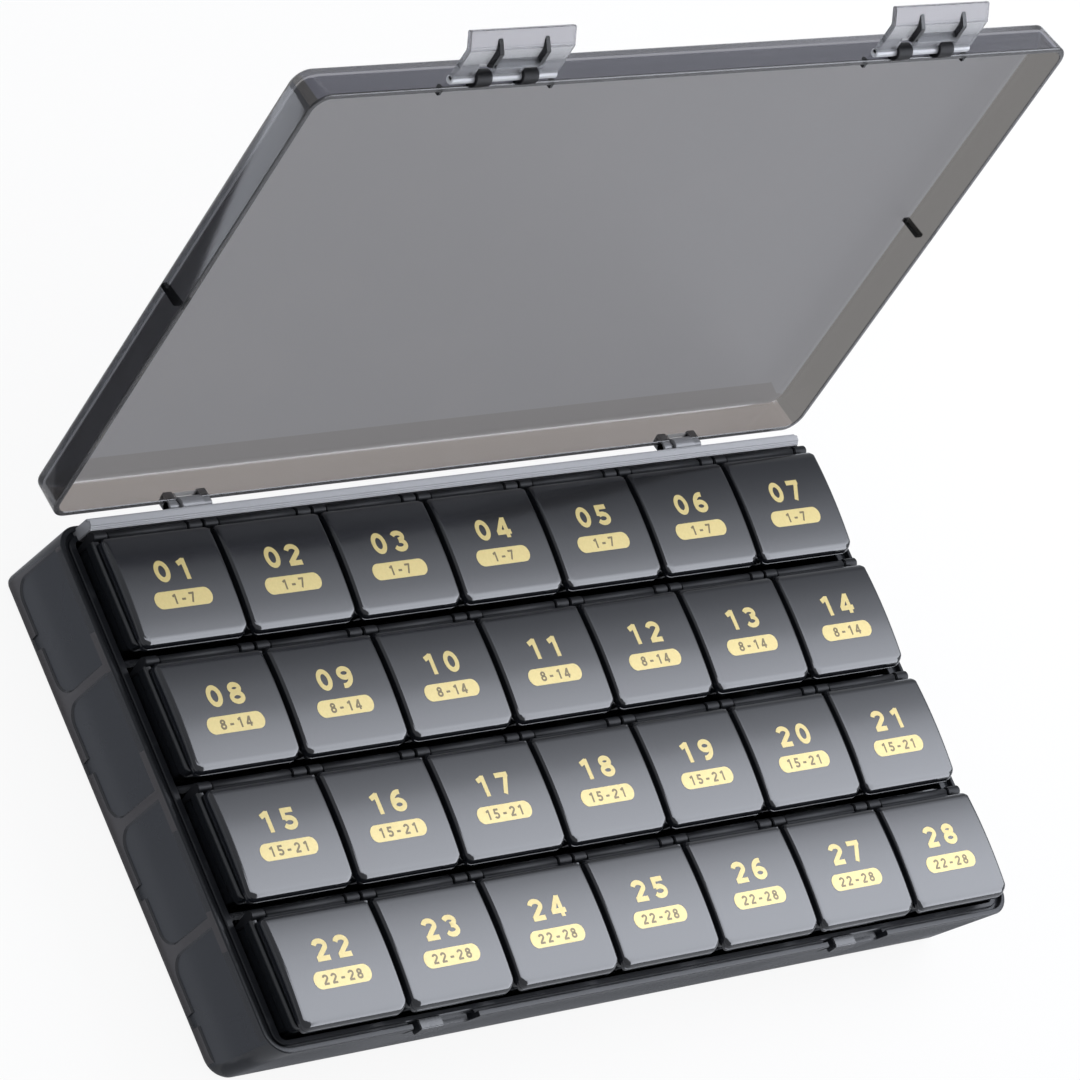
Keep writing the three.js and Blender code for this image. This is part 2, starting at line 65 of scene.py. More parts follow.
def roundedOutline(x0, x1, y0, y1, radii, cornerSteps=10, sideSteps=6, endSteps=12):
    # points with outward normals, counterclockwise; radii run back right, back left, front left, front right
    corners = [(x1, y1, 0), (x0, y1, 1), (x0, y0, 2), (x1, y0, 3)]
    arcs = []
    for (cx, cy, quarter), radius in zip(corners, radii):
        signX = 1 if quarter in (0, 3) else -1
        signY = 1 if quarter in (0, 1) else -1
        centre = Vector((cx - signX * radius, cy - signY * radius))
        arc = []
        for step in range(cornerSteps + 1):
            angle = (quarter + step / cornerSteps) * math.pi / 2
            normal = Vector((math.cos(angle), math.sin(angle)))
            arc.append((centre + normal * radius, normal))
        arcs.append(arc)
    outline = []
    for index, arc in enumerate(arcs):
        outline.extend(arc)
        after = arcs[(index + 1) % 4][0]
        last = arc[-1]
        steps = sideSteps if index % 2 == 0 else endSteps
        for step in range(1, steps):
            outline.append((last[0].lerp(after[0], step / steps), last[1].copy()))
    return outline


def ringOf(outline, inset, height):
    # inset and height are numbers, or functions of a point and its normal
    ring = []
    for point, normal in outline:
        drawn = inset(point, normal) if callable(inset) else inset
        moved = point - normal * drawn
        z = height(moved, normal) if callable(height) else height
        ring.append(Vector((moved.x, moved.y, z)))
    return ring


class Solid:
    # gathers closed shells in millimetres and turns them into one mesh

    def __init__(self):
        self.points = []
        self.faces = []
        self.slots = []

    def loft(self, rings, slot=0):
        start = len(self.points)
        count = len(rings[0])
        for ring in rings:
            self.points.extend(ring)
        top = start + (len(rings) - 1) * count
        for lower in range(start, top, count):
            upper = lower + count
            for step in range(count):
                after = (step + 1) % count
                self.faces.append((lower + step, lower + after, upper + after, upper + step))
                self.slots.append(slot)
        self.faces.append(tuple(reversed(range(start, start + count))))
        self.faces.append(tuple(range(top, top + count)))
        self.slots.extend((slot, slot))

    def add(self, mesh, matrix=Matrix.Identity(4), slot=0):
        # takes over a bmesh, in millimetres
        start = len(self.points)
        mesh.verts.ensure_lookup_table()
        mesh.verts.index_update()
        self.points.extend(matrix @ vert.co for vert in mesh.verts)
        for face in mesh.faces:
            self.faces.append(tuple(start + vert.index for vert in face.verts))
            self.slots.append(slot)
        mesh.free()

    def mesh(self, name, matrix=Matrix.Identity(4), sharpAngle=35):
        data = bpy.data.meshes.new(name)
        data.from_pydata([(matrix @ point) * mm for point in self.points], [], self.faces)
        data.polygons.foreach_set("material_index", self.slots)
        data.validate()
        settleShading(data, sharpAngle)
        return data


def settleShading(data, sharpAngle=35):
    shade = bmesh.new()
    shade.from_mesh(data)
    limit = math.radians(sharpAngle)
    for edge in shade.edges:
        edge.smooth = len(edge.link_faces) == 2 and edge.calc_face_angle(0) < limit
    for face in shade.faces:
        face.smooth = True
    shade.to_mesh(data)
    shade.free()


def block(near, far, bevel=0.0, segments=2, leastAngle=20):
    # a solid between two outlines with matching corners, with its edges eased
    bm = bmesh.new()
    near, far = ([bm.verts.new(corner) for corner in outline] for outline in (near, far))
    bm.faces.new(near)
    bm.faces.new(list(reversed(far)))
    for step in range(len(near)):
        after = (step + 1) % len(near)
        bm.faces.new((near[after], near[step], far[step], far[after]))
    bmesh.ops.recalc_face_normals(bm, faces=bm.faces)
    if bevel:
        edges = [edge for edge in bm.edges if edge.calc_face_angle(0) > math.radians(leastAngle)]
        bmesh.ops.bevel(bm, geom=edges, offset=bevel, segments=segments, affect="EDGES", clamp_overlap=True)
    return bm


def prism(profile, x0, x1, bevel=0.0, segments=2):
    # an outline of (y, z) points drawn out along X
    return block([(x0, y, z) for y, z in profile], [(x1, y, z) for y, z in profile], bevel, segments)


def plank(outline, y0, y1, bevel=0.0):
    # an outline of (x, z) points drawn out along Y
    return block([(x, y0, z) for x, z in outline], [(x, y1, z) for x, z in outline], bevel)


def brick(x0, x1, y0, y1, z0, z1, bevel=0.15):
    x0, x1 = sorted((x0, x1))
    return prism([(y0, z0), (y1, z0), (y1, z1), (y0, z1)], x0, x1, bevel)


def spun(profile, y, z, sides, bored=False):
    # circles about an axis along X; the profile lists where each one lies and its radius
    bm = bmesh.new()
    turns = [2 * math.pi * step / sides for step in range(sides)]
    rings = [[bm.verts.new((x, y + radius * math.cos(turn), z + radius * math.sin(turn))) for turn in turns]
             for x, radius in profile]
    for low, high in zip(rings, rings[1:] + rings[:1] if bored else rings[1:]):
        for step in range(sides):
            after = (step + 1) % sides
            bm.faces.new((low[step], low[after], high[after], high[step]))
    if not bored:
        bm.faces.new(rings[0])
        bm.faces.new(list(reversed(rings[-1])))
    bmesh.ops.recalc_face_normals(bm, faces=bm.faces)
    return bm


def bar(x0, x1, y, z, radius, sides=24, bevel=0.12):
    return spun([(x0, radius - bevel), (x0 + bevel, radius), (x1 - bevel, radius), (x1, radius - bevel)], y, z, sides)


def tube(x0, x1, y, z, radius, bore, sides=32, bevel=0.15):
    return spun([(x0, bore), (x0, radius - bevel), (x0 + bevel, radius), (x1 - bevel, radius), (x1, radius - bevel),
                 (x1, bore)], y, z, sides, bored=True)


def addObject(name, data):
    made = bpy.data.objects.new(name, data)
    bpy.context.scene.collection.objects.link(made)
    return made


def place(name, data, materials, body, nodes=(), location=(0, 0, 0)):
    piece = addObject(name, data)
    piece.location = Vector(location) * mm
    if not data.materials:
        for material in materials:
            data.materials.append(material)
    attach(piece, body)
    if nodes:
        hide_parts(*nodes)
    return piece


def boxOf(node):
    low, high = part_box(node)
    return low / mm, high / mm


def cut(piece, cutters):
    # takes the cutters out of a piece and applies the result
    tool = addObject("cutTool", cutters.mesh("cutTool"))
    modifier = piece.modifiers.new("recess", "BOOLEAN")
    modifier.operation = "DIFFERENCE"
    modifier.solver = "EXACT"
    modifier.object = tool
    bpy.context.view_layer.update()
    result = bpy.data.meshes.new_from_object(piece.evaluated_get(bpy.context.evaluated_depsgraph_get()))
    piece.modifiers.clear()
    settleShading(result)
    piece.data = result
    bpy.data.objects.remove(tool)


def newGroup(name, inputs, outputs):
    group = bpy.data.node_groups.new(name, "ShaderNodeTree")
    for label, kind, value in inputs:
        group.interface.new_socket(label, in_out="INPUT", socket_type=kind).default_value = value
    for label, kind in outputs:
        group.interface.new_socket(label, in_out="OUTPUT", socket_type=kind)
    return group, node(group, "NodeGroupInput", (-900, 0)), node(group, "NodeGroupOutput", (500, 0))


def setInputs(target, inputs):
    for key, value in inputs.items():
        target.inputs[key].default_value = value


def node(tree, kind, at, inputs=None, **values):
    made = tree.nodes.new(kind)
    made.location = at
    for key, value in values.items():
        setattr(made, key, value)
    setInputs(made, inputs or {})
    return made


def wire(tree, *runs):
    # each run names a node, its output, the next node and that one's input
    for source, out, target, into in runs:
        tree.links.new(source.outputs[out], target.inputs[into])


surfaceSet = {
    "peel": {"Detail": 3, "Roughness": 0.45}, "slow": {"Scale": 45, "Detail": 5},
    "haze": {"From Min": 0.5, "From Max": 0.8, "To Max": 0.6}, "edge": {"From Min": 0.52, "From Max": 0.72},
    "rub": {"Scale": 260, "Detail": 4}, "broken": {"From Max": 0.7}, "grain": {"Detail": 4},
    "mottle": {"From Min": 0.35, "From Max": 0.75, "To Max": 0.5}, "mottleDulling": 0.2, "wornDulling": 0.25,
    "solidIor": 1.5,
}


def mouldedSurface():
    # fine orange peel, slow gloss changes and a faint haze that moulded plastic has
    group, entry, leave = newGroup(
        "mouldedSurface",
        [("Base", "NodeSocketColor", (0.02, 0.02, 0.02, 1)), ("Haze", "NodeSocketColor", (0.05, 0.05, 0.05, 1)),
         ("Grain Scale", "NodeSocketFloat", 900.0), ("Roughness", "NodeSocketFloat", 0.15),
         ("Unevenness", "NodeSocketFloat", 0.05)],
        [("Color", "NodeSocketColor"), ("Roughness", "NodeSocketFloat"), ("Height", "NodeSocketFloat")])
    where = node(group, "ShaderNodeTexCoord", (-900, -260))
    peel = node(group, "ShaderNodeTexNoise", (-600, 140), surfaceSet["peel"])
    slow = node(group, "ShaderNodeTexNoise", (-600, -120), surfaceSet["slow"])
    centred = node(group, "ShaderNodeMath", (-400, -120), {1: 0.5}, operation="SUBTRACT")
    spread = node(group, "ShaderNodeMath", (-220, -160), operation="MULTIPLY_ADD")
    haze = node(group, "ShaderNodeMapRange", (-220, 60), surfaceSet["haze"])
    blend = node(group, "ShaderNodeMix", (60, 160), data_type="RGBA")
    wire(group, (where, "Object", peel, "Vector"), (where, "Object", slow, "Vector"),
         (entry, "Grain Scale", peel, "Scale"), (slow, "Fac", centred, 0), (centred, 0, spread, 0),
         (entry, "Unevenness", spread, 1), (entry, "Roughness", spread, 2), (slow, "Fac", haze, "Value"),
         (haze, "Result", blend, "Factor"), (entry, "Base", blend, "A"), (entry, "Haze", blend, "B"),
         (blend, "Result", leave, "Color"), (spread, 0, leave, "Roughness"), (peel, "Fac", leave, "Height"))
    return group


def edgeWear():
    # a mask that is 1 on convex edges, broken up by noise, for where hands rub
    group, entry, leave = newGroup(
        "edgeWear",
        [("Reach", "NodeSocketFloat", 0.6), ("Amount", "NodeSocketFloat", 0.5)],
        [("Mask", "NodeSocketFloat")])
    shape = node(group, "ShaderNodeNewGeometry", (-900, 200))
    edge = node(group, "ShaderNodeMapRange", (-600, 200), surfaceSet["edge"])
    where = node(group, "ShaderNodeTexCoord", (-900, -160))
    rub = node(group, "ShaderNodeTexNoise", (-600, -160), surfaceSet["rub"])
    broken = node(group, "ShaderNodeMapRange", (-400, -160), surfaceSet["broken"])
    both = node(group, "ShaderNodeMath", (-200, 60), operation="MULTIPLY")
    amount = node(group, "ShaderNodeMath", (0, 60), operation="MULTIPLY")
    wire(group, (shape, "Pointiness", edge, "Value"), (where, "Object", rub, "Vector"),
         (entry, "Reach", broken, "From Min"), (rub, "Fac", broken, "Value"), (edge, "Result", both, 0),
         (broken, "Result", both, 1), (both, 0, amount, 0), (entry, "Amount", amount, 1), (amount, 0, leave, "Mask"))
    return group


def foilGrain():
    # pressed metal foil: fine mottling in colour and gloss
    group, entry, leave = newGroup(
        "foilGrain",
        [("Foil", "NodeSocketColor", (0.8, 0.6, 0.2, 1)), ("Shade", "NodeSocketColor", (0.5, 0.35, 0.1, 1)),
         ("Scale", "NodeSocketFloat", 1800.0), ("Roughness", "NodeSocketFloat", 0.3)],
        [("Color", "NodeSocketColor"), ("Roughness", "NodeSocketFloat"), ("Height", "NodeSocketFloat")])
    where = node(group, "ShaderNodeTexCoord", (-900, -260))
    grain = node(group, "ShaderNodeTexNoise", (-600, 0), surfaceSet["grain"])
    mottle = node(group, "ShaderNodeMapRange", (-380, 120), surfaceSet["mottle"])
    blend = node(group, "ShaderNodeMix", (-100, 160), data_type="RGBA")
    gloss = node(group, "ShaderNodeMath", (-100, -120), {1: surfaceSet["mottleDulling"]}, operation="MULTIPLY_ADD")
    wire(group, (where, "Object", grain, "Vector"), (entry, "Scale", grain, "Scale"), (grain, "Fac", mottle, "Value"),
         (mottle, "Result", blend, "Factor"), (entry, "Foil", blend, "A"), (entry, "Shade", blend, "B"),
         (mottle, "Result", gloss, 0), (entry, "Roughness", gloss, 2), (blend, "Result", leave, "Color"),
         (gloss, 0, leave, "Roughness"), (grain, "Fac", leave, "Height"))
    return group


mouldedGroup = mouldedSurface()
wearGroup = edgeWear()
foilGroup = foilGrain()


def startMaterial(name):
    material = bpy.data.materials.new(name)
    material.use_nodes = True
    tree = material.node_tree
    return material, tree, tree.nodes["Principled BSDF"]


def startSurface(name, look, group, inputs):
    # a material whose grain comes from a shared group, with that group's height as its bump
    material, tree, shader = startMaterial(name)
    surface = node(tree, "ShaderNodeGroup", (-600, 100), inputs, node_tree=group)
    bump = node(tree, "ShaderNodeBump", (-200, -300), {"Strength": look["bump"], "Distance": look["bumpDepth"] * mm})
    wire(tree, (surface, "Color", shader, "Base Color"), (surface, "Roughness", shader, "Roughness"),
         (surface, "Height", bump, "Height"), (bump, "Normal", shader, "Normal"))
    return material, tree, shader, surface


def startMoulded(name, look):
    return startSurface(name, look, mouldedGroup, {
        "Base": (*look["color"], 1), "Haze": (*look["haze"], 1), "Grain Scale": look["grainScale"],
        "Roughness": look["roughness"], "Unevenness": look["unevenness"]})


def blackPlastic(name, shared, **own):
    look = {**shared, **own}
    material, tree, shader, moulded = startMoulded(name, look)
    worn = node(tree, "ShaderNodeGroup", (-600, -220), {"Amount": look["wear"]}, node_tree=wearGroup)
    rubbed = node(tree, "ShaderNodeMix", (-340, 160), {"B": (*look["wornColor"], 1)}, data_type="RGBA")
    duller = node(tree, "ShaderNodeMath", (-340, -80), {1: surfaceSet["wornDulling"]}, operation="MULTIPLY_ADD")
    wire(tree, (worn, "Mask", rubbed, "Factor"), (moulded, "Color", rubbed, "A"),
         (rubbed, "Result", shader, "Base Color"), (worn, "Mask", duller, 0), (moulded, "Roughness", duller, 2),
         (duller, 0, shader, "Roughness"))
    setInputs(shader, {"IOR": surfaceSet["solidIor"], "Specular IOR Level": look["specular"]})
    return material


def clearPlastic(name, shared, **own):
    look = {**shared, **own}
    material, _, shader, _ = startMoulded(name, look)
    setInputs(shader, {"IOR": look["ior"], "Transmission Weight": look["clearness"]})
    return material


def goldFoil(name, shared, **own):
    look = {**shared, **own}
    material, _, shader, _ = startSurface(name, look, foilGroup, {
        "Foil": (*look["color"], 1), "Shade": (*look["shade"], 1), "Roughness": look["roughness"]})
    setInputs(shader, {"Metallic": look["metallic"]})
    return material


boxLook = {"grainScale": 700, "bumpDepth": 0.02, "specular": 0.5}
trayLook = {"grainScale": 550, "unevenness": 0.1, "wear": 0.4, "bump": 0.2, "bumpDepth": 0.03, "specular": 0.5}
plateLook = {"grainScale": 300, "roughness": 0.36, "unevenness": 0.02, "bump": 0.03, "bumpDepth": 0.01, "ior": 1.12,
             "clearness": 1.0}
wallLook = {"grainScale": 300, "unevenness": 0.03, "bump": 0.04, "bumpDepth": 0.01, "ior": 1.35, "clearness": 1.0}
latchLook = {"grainScale": 500, "roughness": 0.25, "unevenness": 0.1, "bump": 0.15, "bumpDepth": 0.03, "ior": 1.4,
             "clearness": 0.9}
printLook = {"metallic": 0.1, "bump": 0.25, "bumpDepth": 0.01}

lidPlastic = blackPlastic(
    "lidPlastic", boxLook, color=(0.010, 0.011, 0.014), haze=(0.016, 0.017, 0.020), roughness=0.13, unevenness=0.05,
    wear=0.35, wornColor=(0.06, 0.062, 0.068), bump=0.12)
boxPlastic = blackPlastic(
    "boxPlastic", boxLook, color=(0.008, 0.009, 0.011), haze=(0.013, 0.014, 0.017), roughness=0.2, unevenness=0.08,
    wear=0.3, wornColor=(0.05, 0.052, 0.058), bump=0.15)
trayPlastic = blackPlastic(
    "trayPlastic", trayLook, color=(0.013, 0.014, 0.017), haze=(0.022, 0.023, 0.027), roughness=0.26,
    wornColor=(0.07, 0.072, 0.08))
# ears, barrels and pins are duller, and painted a little darker than the box and lid as shade for the dark gaps between
# the rows
hingePlastic = blackPlastic(
    "hingePlastic", boxLook, color=(0.006, 0.0065, 0.008), haze=(0.009, 0.0095, 0.011), grainScale=900,
    roughness=0.5, unevenness=0.1, wear=0.15, wornColor=(0.02, 0.021, 0.024), bump=0.15, specular=0.15)
# the tray's end panels, painted a darker, bluer shade, the ribs round them, painted lighter where they catch light, the
# top of its rim, which is duller, and the band by the cover's hinge, painted pale grey as a reflection
panelShadePlastic = blackPlastic(
    "panelShadePlastic", trayLook, color=(0.012, 0.0145, 0.020), haze=(0.018, 0.021, 0.027), roughness=0.28, wear=0.2,
    wornColor=(0.04, 0.042, 0.05))
ribLightPlastic = blackPlastic(
    "ribLightPlastic", trayLook, color=(0.038, 0.034, 0.036), haze=(0.05, 0.046, 0.048), roughness=0.3,
    wornColor=(0.08, 0.078, 0.082))
rimPlastic = blackPlastic(
    "rimPlastic", trayLook, color=(0.013, 0.014, 0.017), haze=(0.022, 0.023, 0.027), roughness=0.3,
    wornColor=(0.05, 0.052, 0.058), specular=0.2)
# the band and lugs by the cover's hinge, and the cover's hinge pins, cheeks and stops: black plastic painted pale grey
# as a reflection
hingeSheenPlastic = blackPlastic(
    "hingeSheenPlastic", boxLook, color=(0.26, 0.262, 0.275), haze=(0.31, 0.31, 0.325), roughness=0.3, unevenness=0.1,
    wear=0.2, wornColor=(0.36, 0.36, 0.37), bump=0.15)
coverSmoke = clearPlastic("coverSmoke", plateLook, color=(0.264, 0.264, 0.278), haze=(0.277, 0.274, 0.287))
latchSmoke = clearPlastic(
    "latchSmoke", latchLook, color=(0.29, 0.28, 0.30), haze=(0.32, 0.31, 0.33), grainScale=300, unevenness=0.06,
    bump=0.1, bumpDepth=0.02, clearness=0.85)
goldPrint = goldFoil("goldPrint", printLook, color=(0.66, 0.53, 0.2), shade=(0.57, 0.45, 0.15), roughness=0.3)
badgeInk = goldFoil("badgeInk", printLook, color=(0.14, 0.10, 0.03), shade=(0.10, 0.07, 0.02), roughness=0.35)
coverWall = clearPlastic("coverWall", wallLook, color=(0.2, 0.193, 0.187), haze=(0.215, 0.205, 0.2), roughness=0.08)
# the wall by the hinge, painted a lighter beige as a reflection
hingeWallSheen = clearPlastic("hingeWallSheen", wallLook, color=(0.29, 0.265, 0.253), haze=(0.31, 0.285, 0.275), roughness=0.12)
coverShade = clearPlastic("coverShade", plateLook, color=(0.2, 0.19, 0.188), haze=(0.215, 0.205, 0.2))
# the wall by the latches, painted blue-grey as a reflection
latchWallSheen = clearPlastic("latchWallSheen", wallLook, color=(0.32, 0.325, 0.38), haze=(0.34, 0.345, 0.4), roughness=0.12)
# the latch knuckles and their feet, duller and painted dark as shade
knuckleShade = clearPlastic(
    "knuckleShade", latchLook, color=(0.03, 0.03, 0.034), haze=(0.04, 0.04, 0.045), roughness=0.5, unevenness=0.05,
    bump=0.1, bumpDepth=0.02, ior=1.2, clearness=0.7)
# the outside of the left end wall, painted near black as shade
leftWallShade = clearPlastic("leftWallShade", wallLook, color=(0.06, 0.064, 0.075), haze=(0.07, 0.074, 0.085), roughness=0.1)
# the rim line, the ribs on the end walls and the nubs, painted near black as shade
coverDarkShade = clearPlastic("coverDarkShade", wallLook, color=(0.02, 0.02, 0.022), haze=(0.03, 0.03, 0.032), roughness=0.15,
                         ior=1.4, clearness=0.9)
# the latch's arm, leaves, heels and snap, painted a lighter grey than the tab as light
latchArmLight = clearPlastic("latchArmLight", latchLook, color=(0.55, 0.56, 0.59), haze=(0.59, 0.6, 0.62))
# the latch's rod, painted near white as a highlight
latchRodHighlight = clearPlastic("latchRodHighlight", latchLook, color=(0.75, 0.76, 0.79), haze=(0.8, 0.81, 0.84), clearness=0.3)
# the latch's gussets, painted near black as shade
latchRibShade = clearPlastic("latchRibShade", latchLook, color=(0.03, 0.03, 0.034), haze=(0.04, 0.04, 0.044), roughness=0.2,
                        bump=0.1, bumpDepth=0.02)
print("materials made")

# flip lids: arched top, rolled front with a crease, thin skirt and the hinge barrel
lidShape = {
    "halfWidth": 14.3, "front": -13.9, "back": 10.45, "top": 26.5, "crest": 2.45, "shoulder": -12.1,
    "frontDrop": 0.95, "backDrop": 0.3, "frontStart": 0.35, "frontSpan": 0.6,
    "sideRound": 0.7, "frontRound": 1.8, "backRound": 1.2, "frontCorner": 2.2, "backCorner": 1.3,
    "skirt": 23.8, "lip": 22.7, "lipEase": 0.15, "lipRise": 0.12, "creaseDepth": 0.16,
    "thickness": 1.2, "wall": 1.1, "wallFront": 0.8, "innerRound": 0.3, "capNarrowing": 0.5, "capReach": 0.97,
    "barrelY": 11.9, "barrelZ": 23.2, "barrelRadius": 0.95, "barrelHalf": 10.6, "pinRadius": 0.5, "pinHalf": 13.0,
    "tongueRoot": 1.0, "tongueDrop": 0.5, "tongueRise": (0.6, 0.85, 1.0),
    # shares of the way up the side walls, and of the way in from the edge to the middle line of the top
    "wallShares": (0.09, 0.8), "creaseShare": 0.9, "underShares": (1.0, 0.8, 0.6, 0.4, 0.2, 0.0),
    "topShares": (0.06, 0.16, 0.3, 0.45, 0.6, 0.75, 0.9, 1.0),
}


def lidTop(y):
    # the arch falls from its crest to the rolled front and, less, to the back edge
    shape = lidShape
    ahead = y < shape["crest"]
    end, drop = (shape["shoulder"], shape["frontDrop"]) if ahead else (shape["back"], shape["backDrop"])
    share = min(1.0, (y - shape["crest"]) / (end - shape["crest"]))
    return shape["top"] - drop * share * share


def lidEdge(normal, side, front, back):
    return lerp(side, front, smooth(-normal.y)) if normal.y < 0 else lerp(side, back, smooth(normal.y))


def lidMesh():
    shape = lidShape
    corners = (shape["backCorner"], shape["backCorner"], shape["frontCorner"], shape["frontCorner"])
    outline = roundedOutline(-shape["halfWidth"], shape["halfWidth"], shape["front"], shape["back"], corners, 8, 10, 12)

    def rounding(normal):
        return lidEdge(normal, shape["sideRound"], shape["frontRound"], shape["backRound"])

    def frontness(normal):
        return smooth((-normal.y - shape["frontStart"]) / shape["frontSpan"])

    def foot(normal):
        return lerp(shape["skirt"], shape["lip"], frontness(normal))

    def wallRing(share, extra=0.0, crease=0.0):
        return ringOf(outline, lambda p, n: extra + crease * frontness(n),
                      lambda p, n: lerp(foot(n), lidTop(p.y) - rounding(n), share))

    def thickOf(normal):
        return lidEdge(normal, shape["wall"], shape["wallFront"], shape["wall"])

    def capRing(start, drop, share):
        middle = (shape["front"] + shape["back"]) / 2
        ring = []
        for point in start:
            x = lerp(point.x, point.x * shape["capNarrowing"], share)
            y = lerp(point.y, middle, share * shape["capReach"])
            ring.append(Vector((x, y, lidTop(y) - drop)))
        return ring

    ceiling = shape["thickness"] + shape["innerRound"]
    inner = ringOf(outline, lambda p, n: thickOf(n) + shape["innerRound"], 0.0)
    rings = [capRing(inner, shape["thickness"], share) for share in shape["underShares"]]
    rings.append(ringOf(outline, lambda p, n: thickOf(n), lambda p, n: lidTop(p.y) - ceiling))
    rings.append(ringOf(outline, lambda p, n: thickOf(n), lambda p, n: foot(n) + shape["lipRise"]))
    rings.append(ringOf(outline, lambda p, n: thickOf(n) - shape["lipEase"], lambda p, n: foot(n)))
    rings.append(wallRing(0.0, shape["lipEase"]))
    rings.extend(wallRing(share) for share in shape["wallShares"])
    rings.append(wallRing(shape["creaseShare"], crease=shape["creaseDepth"]))
    rings.append(wallRing(1.0))
    for came, left in roundOver(6, 1):
        rings.append(ringOf(outline, lambda p, n: rounding(n) * came, lambda p, n: lidTop(p.y) - rounding(n) * left))
    top = rings[-1]
    rings.extend(capRing(top, 0.0, share) for share in shape["topShares"])
    solid = Solid()
    solid.loft(rings)
    half, axisY, axisZ = shape["barrelHalf"], shape["barrelY"], shape["barrelZ"]
    solid.add(bar(-half, half, axisY, axisZ, shape["barrelRadius"]), slot=1)
    solid.add(bar(-shape["pinHalf"], shape["pinHalf"], axisY, axisZ, shape["pinRadius"], 16, 0.1), slot=1)
    root, low, rise = shape["back"] - shape["tongueRoot"], axisZ - shape["tongueDrop"], shape["tongueRise"]
    tongue = [(root, low), (axisY, low), (axisY, axisZ + rise[0]), (shape["back"], axisZ + rise[1]),
              (root, axisZ + rise[2])]
    solid.add(prism(tongue, -half, half, 0.15), slot=1)
    return solid.mesh("lid", sharpAngle=50)


# print on the lids: a plain two-figure day number, and a pill-shaped badge with that week's day numbers
markShape = {
    "numberAt": (-0.2, 1.35), "numberHeight": 4.7, "numberPen": 1.1, "numberWide": 1.45, "numberGap": 0.34,
    "rangeAt": (-0.2, -4.9), "badgeWidth": 15.4, "badgeHeight": 3.7, "badgeFlat": 0.01, "badgeInset": 1.0,
    "rangeHeight": 2.2, "rangePen": 0.46, "rangeWide": 1.2, "rangeGap": 0.3, "proud": 0.035, "inkProud": 0.055,
    "figureWidth": 0.62,
}


def sweep(cx, cy, rx, ry, start, stop, steps=14):
    turns = [math.radians(lerp(start, stop, step / steps)) for step in range(steps + 1)]
    return [(cx + rx * math.cos(turn), cy + ry * math.sin(turn)) for turn in turns]


figures = {
    "0": [sweep(0.31, 0.5, 0.21, 0.4, 0, 360, 28)],
    "1": [[(0.38, 1.0), (0.38, 0.0)], [(0.4, 0.92), (0.13, 0.76)]],
    "2": [sweep(0.31, 0.69, 0.21, 0.21, 170, -28) + [(0.12, 0.13)], [(0.05, 0.1), (0.56, 0.1)]],
    "3": [sweep(0.29, 0.725, 0.2, 0.175, 160, -90), sweep(0.29, 0.315, 0.22, 0.215, 90, -160)],
    "4": [[(0.42, 0.95), (0.09, 0.3)], [(0.02, 0.28), (0.61, 0.28)], [(0.44, 1.0), (0.44, 0.0)]],
    "5": [[(0.1, 0.9), (0.55, 0.9)], [(0.17, 0.99), (0.14, 0.47)], sweep(0.29, 0.325, 0.225, 0.225, 130, -155, 18)],
    "6": [sweep(0.31, 0.31, 0.21, 0.21, 0, 360, 24), sweep(0.42, 0.4, 0.32, 0.5, 188, 78)],
    "7": [[(0.05, 0.9), (0.58, 0.9)], [(0.5, 0.9), (0.23, 0.0)]],
    "8": [sweep(0.31, 0.73, 0.18, 0.17, 0, 360, 24), sweep(0.31, 0.305, 0.21, 0.205, 0, 360, 24)],
    "9": [sweep(0.31, 0.69, 0.21, 0.21, 0, 360, 24), sweep(0.2, 0.6, 0.32, 0.5, 8, -102)],
    "-": [[(0.12, 0.42), (0.5, 0.42)]],
}


def penLine(points, pen):
    # left and right edges of a stroke of constant width, mitred at its bends
    loop = math.dist(points[0], points[-1]) < 1e-6
    count = len(points)
    edges = []
    for step, (x, y) in enumerate(points):
        before = points[step - 1] if step else (points[-2] if loop else points[0])
        after = points[step + 1] if step < count - 1 else (points[1] if loop else points[-1])
        here = Vector((x, y))
        inward = here - Vector(before)
        outward = Vector(after) - here
        if inward.length < 1e-9:
            inward = outward
        if outward.length < 1e-9:
            outward = inward
        mean = (inward.normalized() + outward.normalized()).normalized()
        side = Vector((-mean.y, mean.x)) * (pen / 2 / max(0.5, mean.dot(outward.normalized())))
        edges.append((here + side, here - side))
    return edges


def writeFigures(solid, words, kind, proud, sunk, slot):
    shape = markShape
    (x0, y0), height, pen, wide, gap = (shape[kind + part] for part in ("At", "Height", "Pen", "Wide", "Gap"))
    advance = (shape["figureWidth"] * wide + gap) * height
    start = x0 - (advance * len(words) - gap * height) / 2
    for order, letter in enumerate(words):
        for stroke in figures[letter]:
            points = [(start + order * advance + x * wide * height, y0 + (y - 0.5) * height) for x, y in stroke]
            rings = []
            for left, right in penLine(points, pen):
                rings.append([Vector((spot.x, spot.y, lidTop(spot.y) + z))
                              for spot, z in ((left, proud), (right, proud), (right, sunk), (left, sunk))])
            solid.loft(rings, slot)


def marksMesh(week, day):
    shape = markShape
    proud = shape["proud"]
    solid = Solid()
    writeFigures(solid, f"{(week - 1) * 7 + day:02d}", "number", proud, -proud, 0)
    x, y = shape["rangeAt"]
    half, tall = shape["badgeWidth"] / 2, shape["badgeHeight"] / 2
    outline = roundedOutline(x - half, x + half, y - tall, y + tall, (tall - shape["badgeFlat"],) * 4, 10, 12, 1)
    levels = ((shape["badgeInset"], -proud), (0.0, -proud), (0.0, proud), (shape["badgeInset"], proud))
    solid.loft([ringOf(outline, inset, lambda p, n: lidTop(p.y) + z) for inset, z in levels], 0)
    writeFigures(solid, f"{(week - 1) * 7 + 1}-{week * 7}", "range", shape["inkProud"], 0.0, 1)
    return solid.mesh(f"marks_week{week}_day{day}")


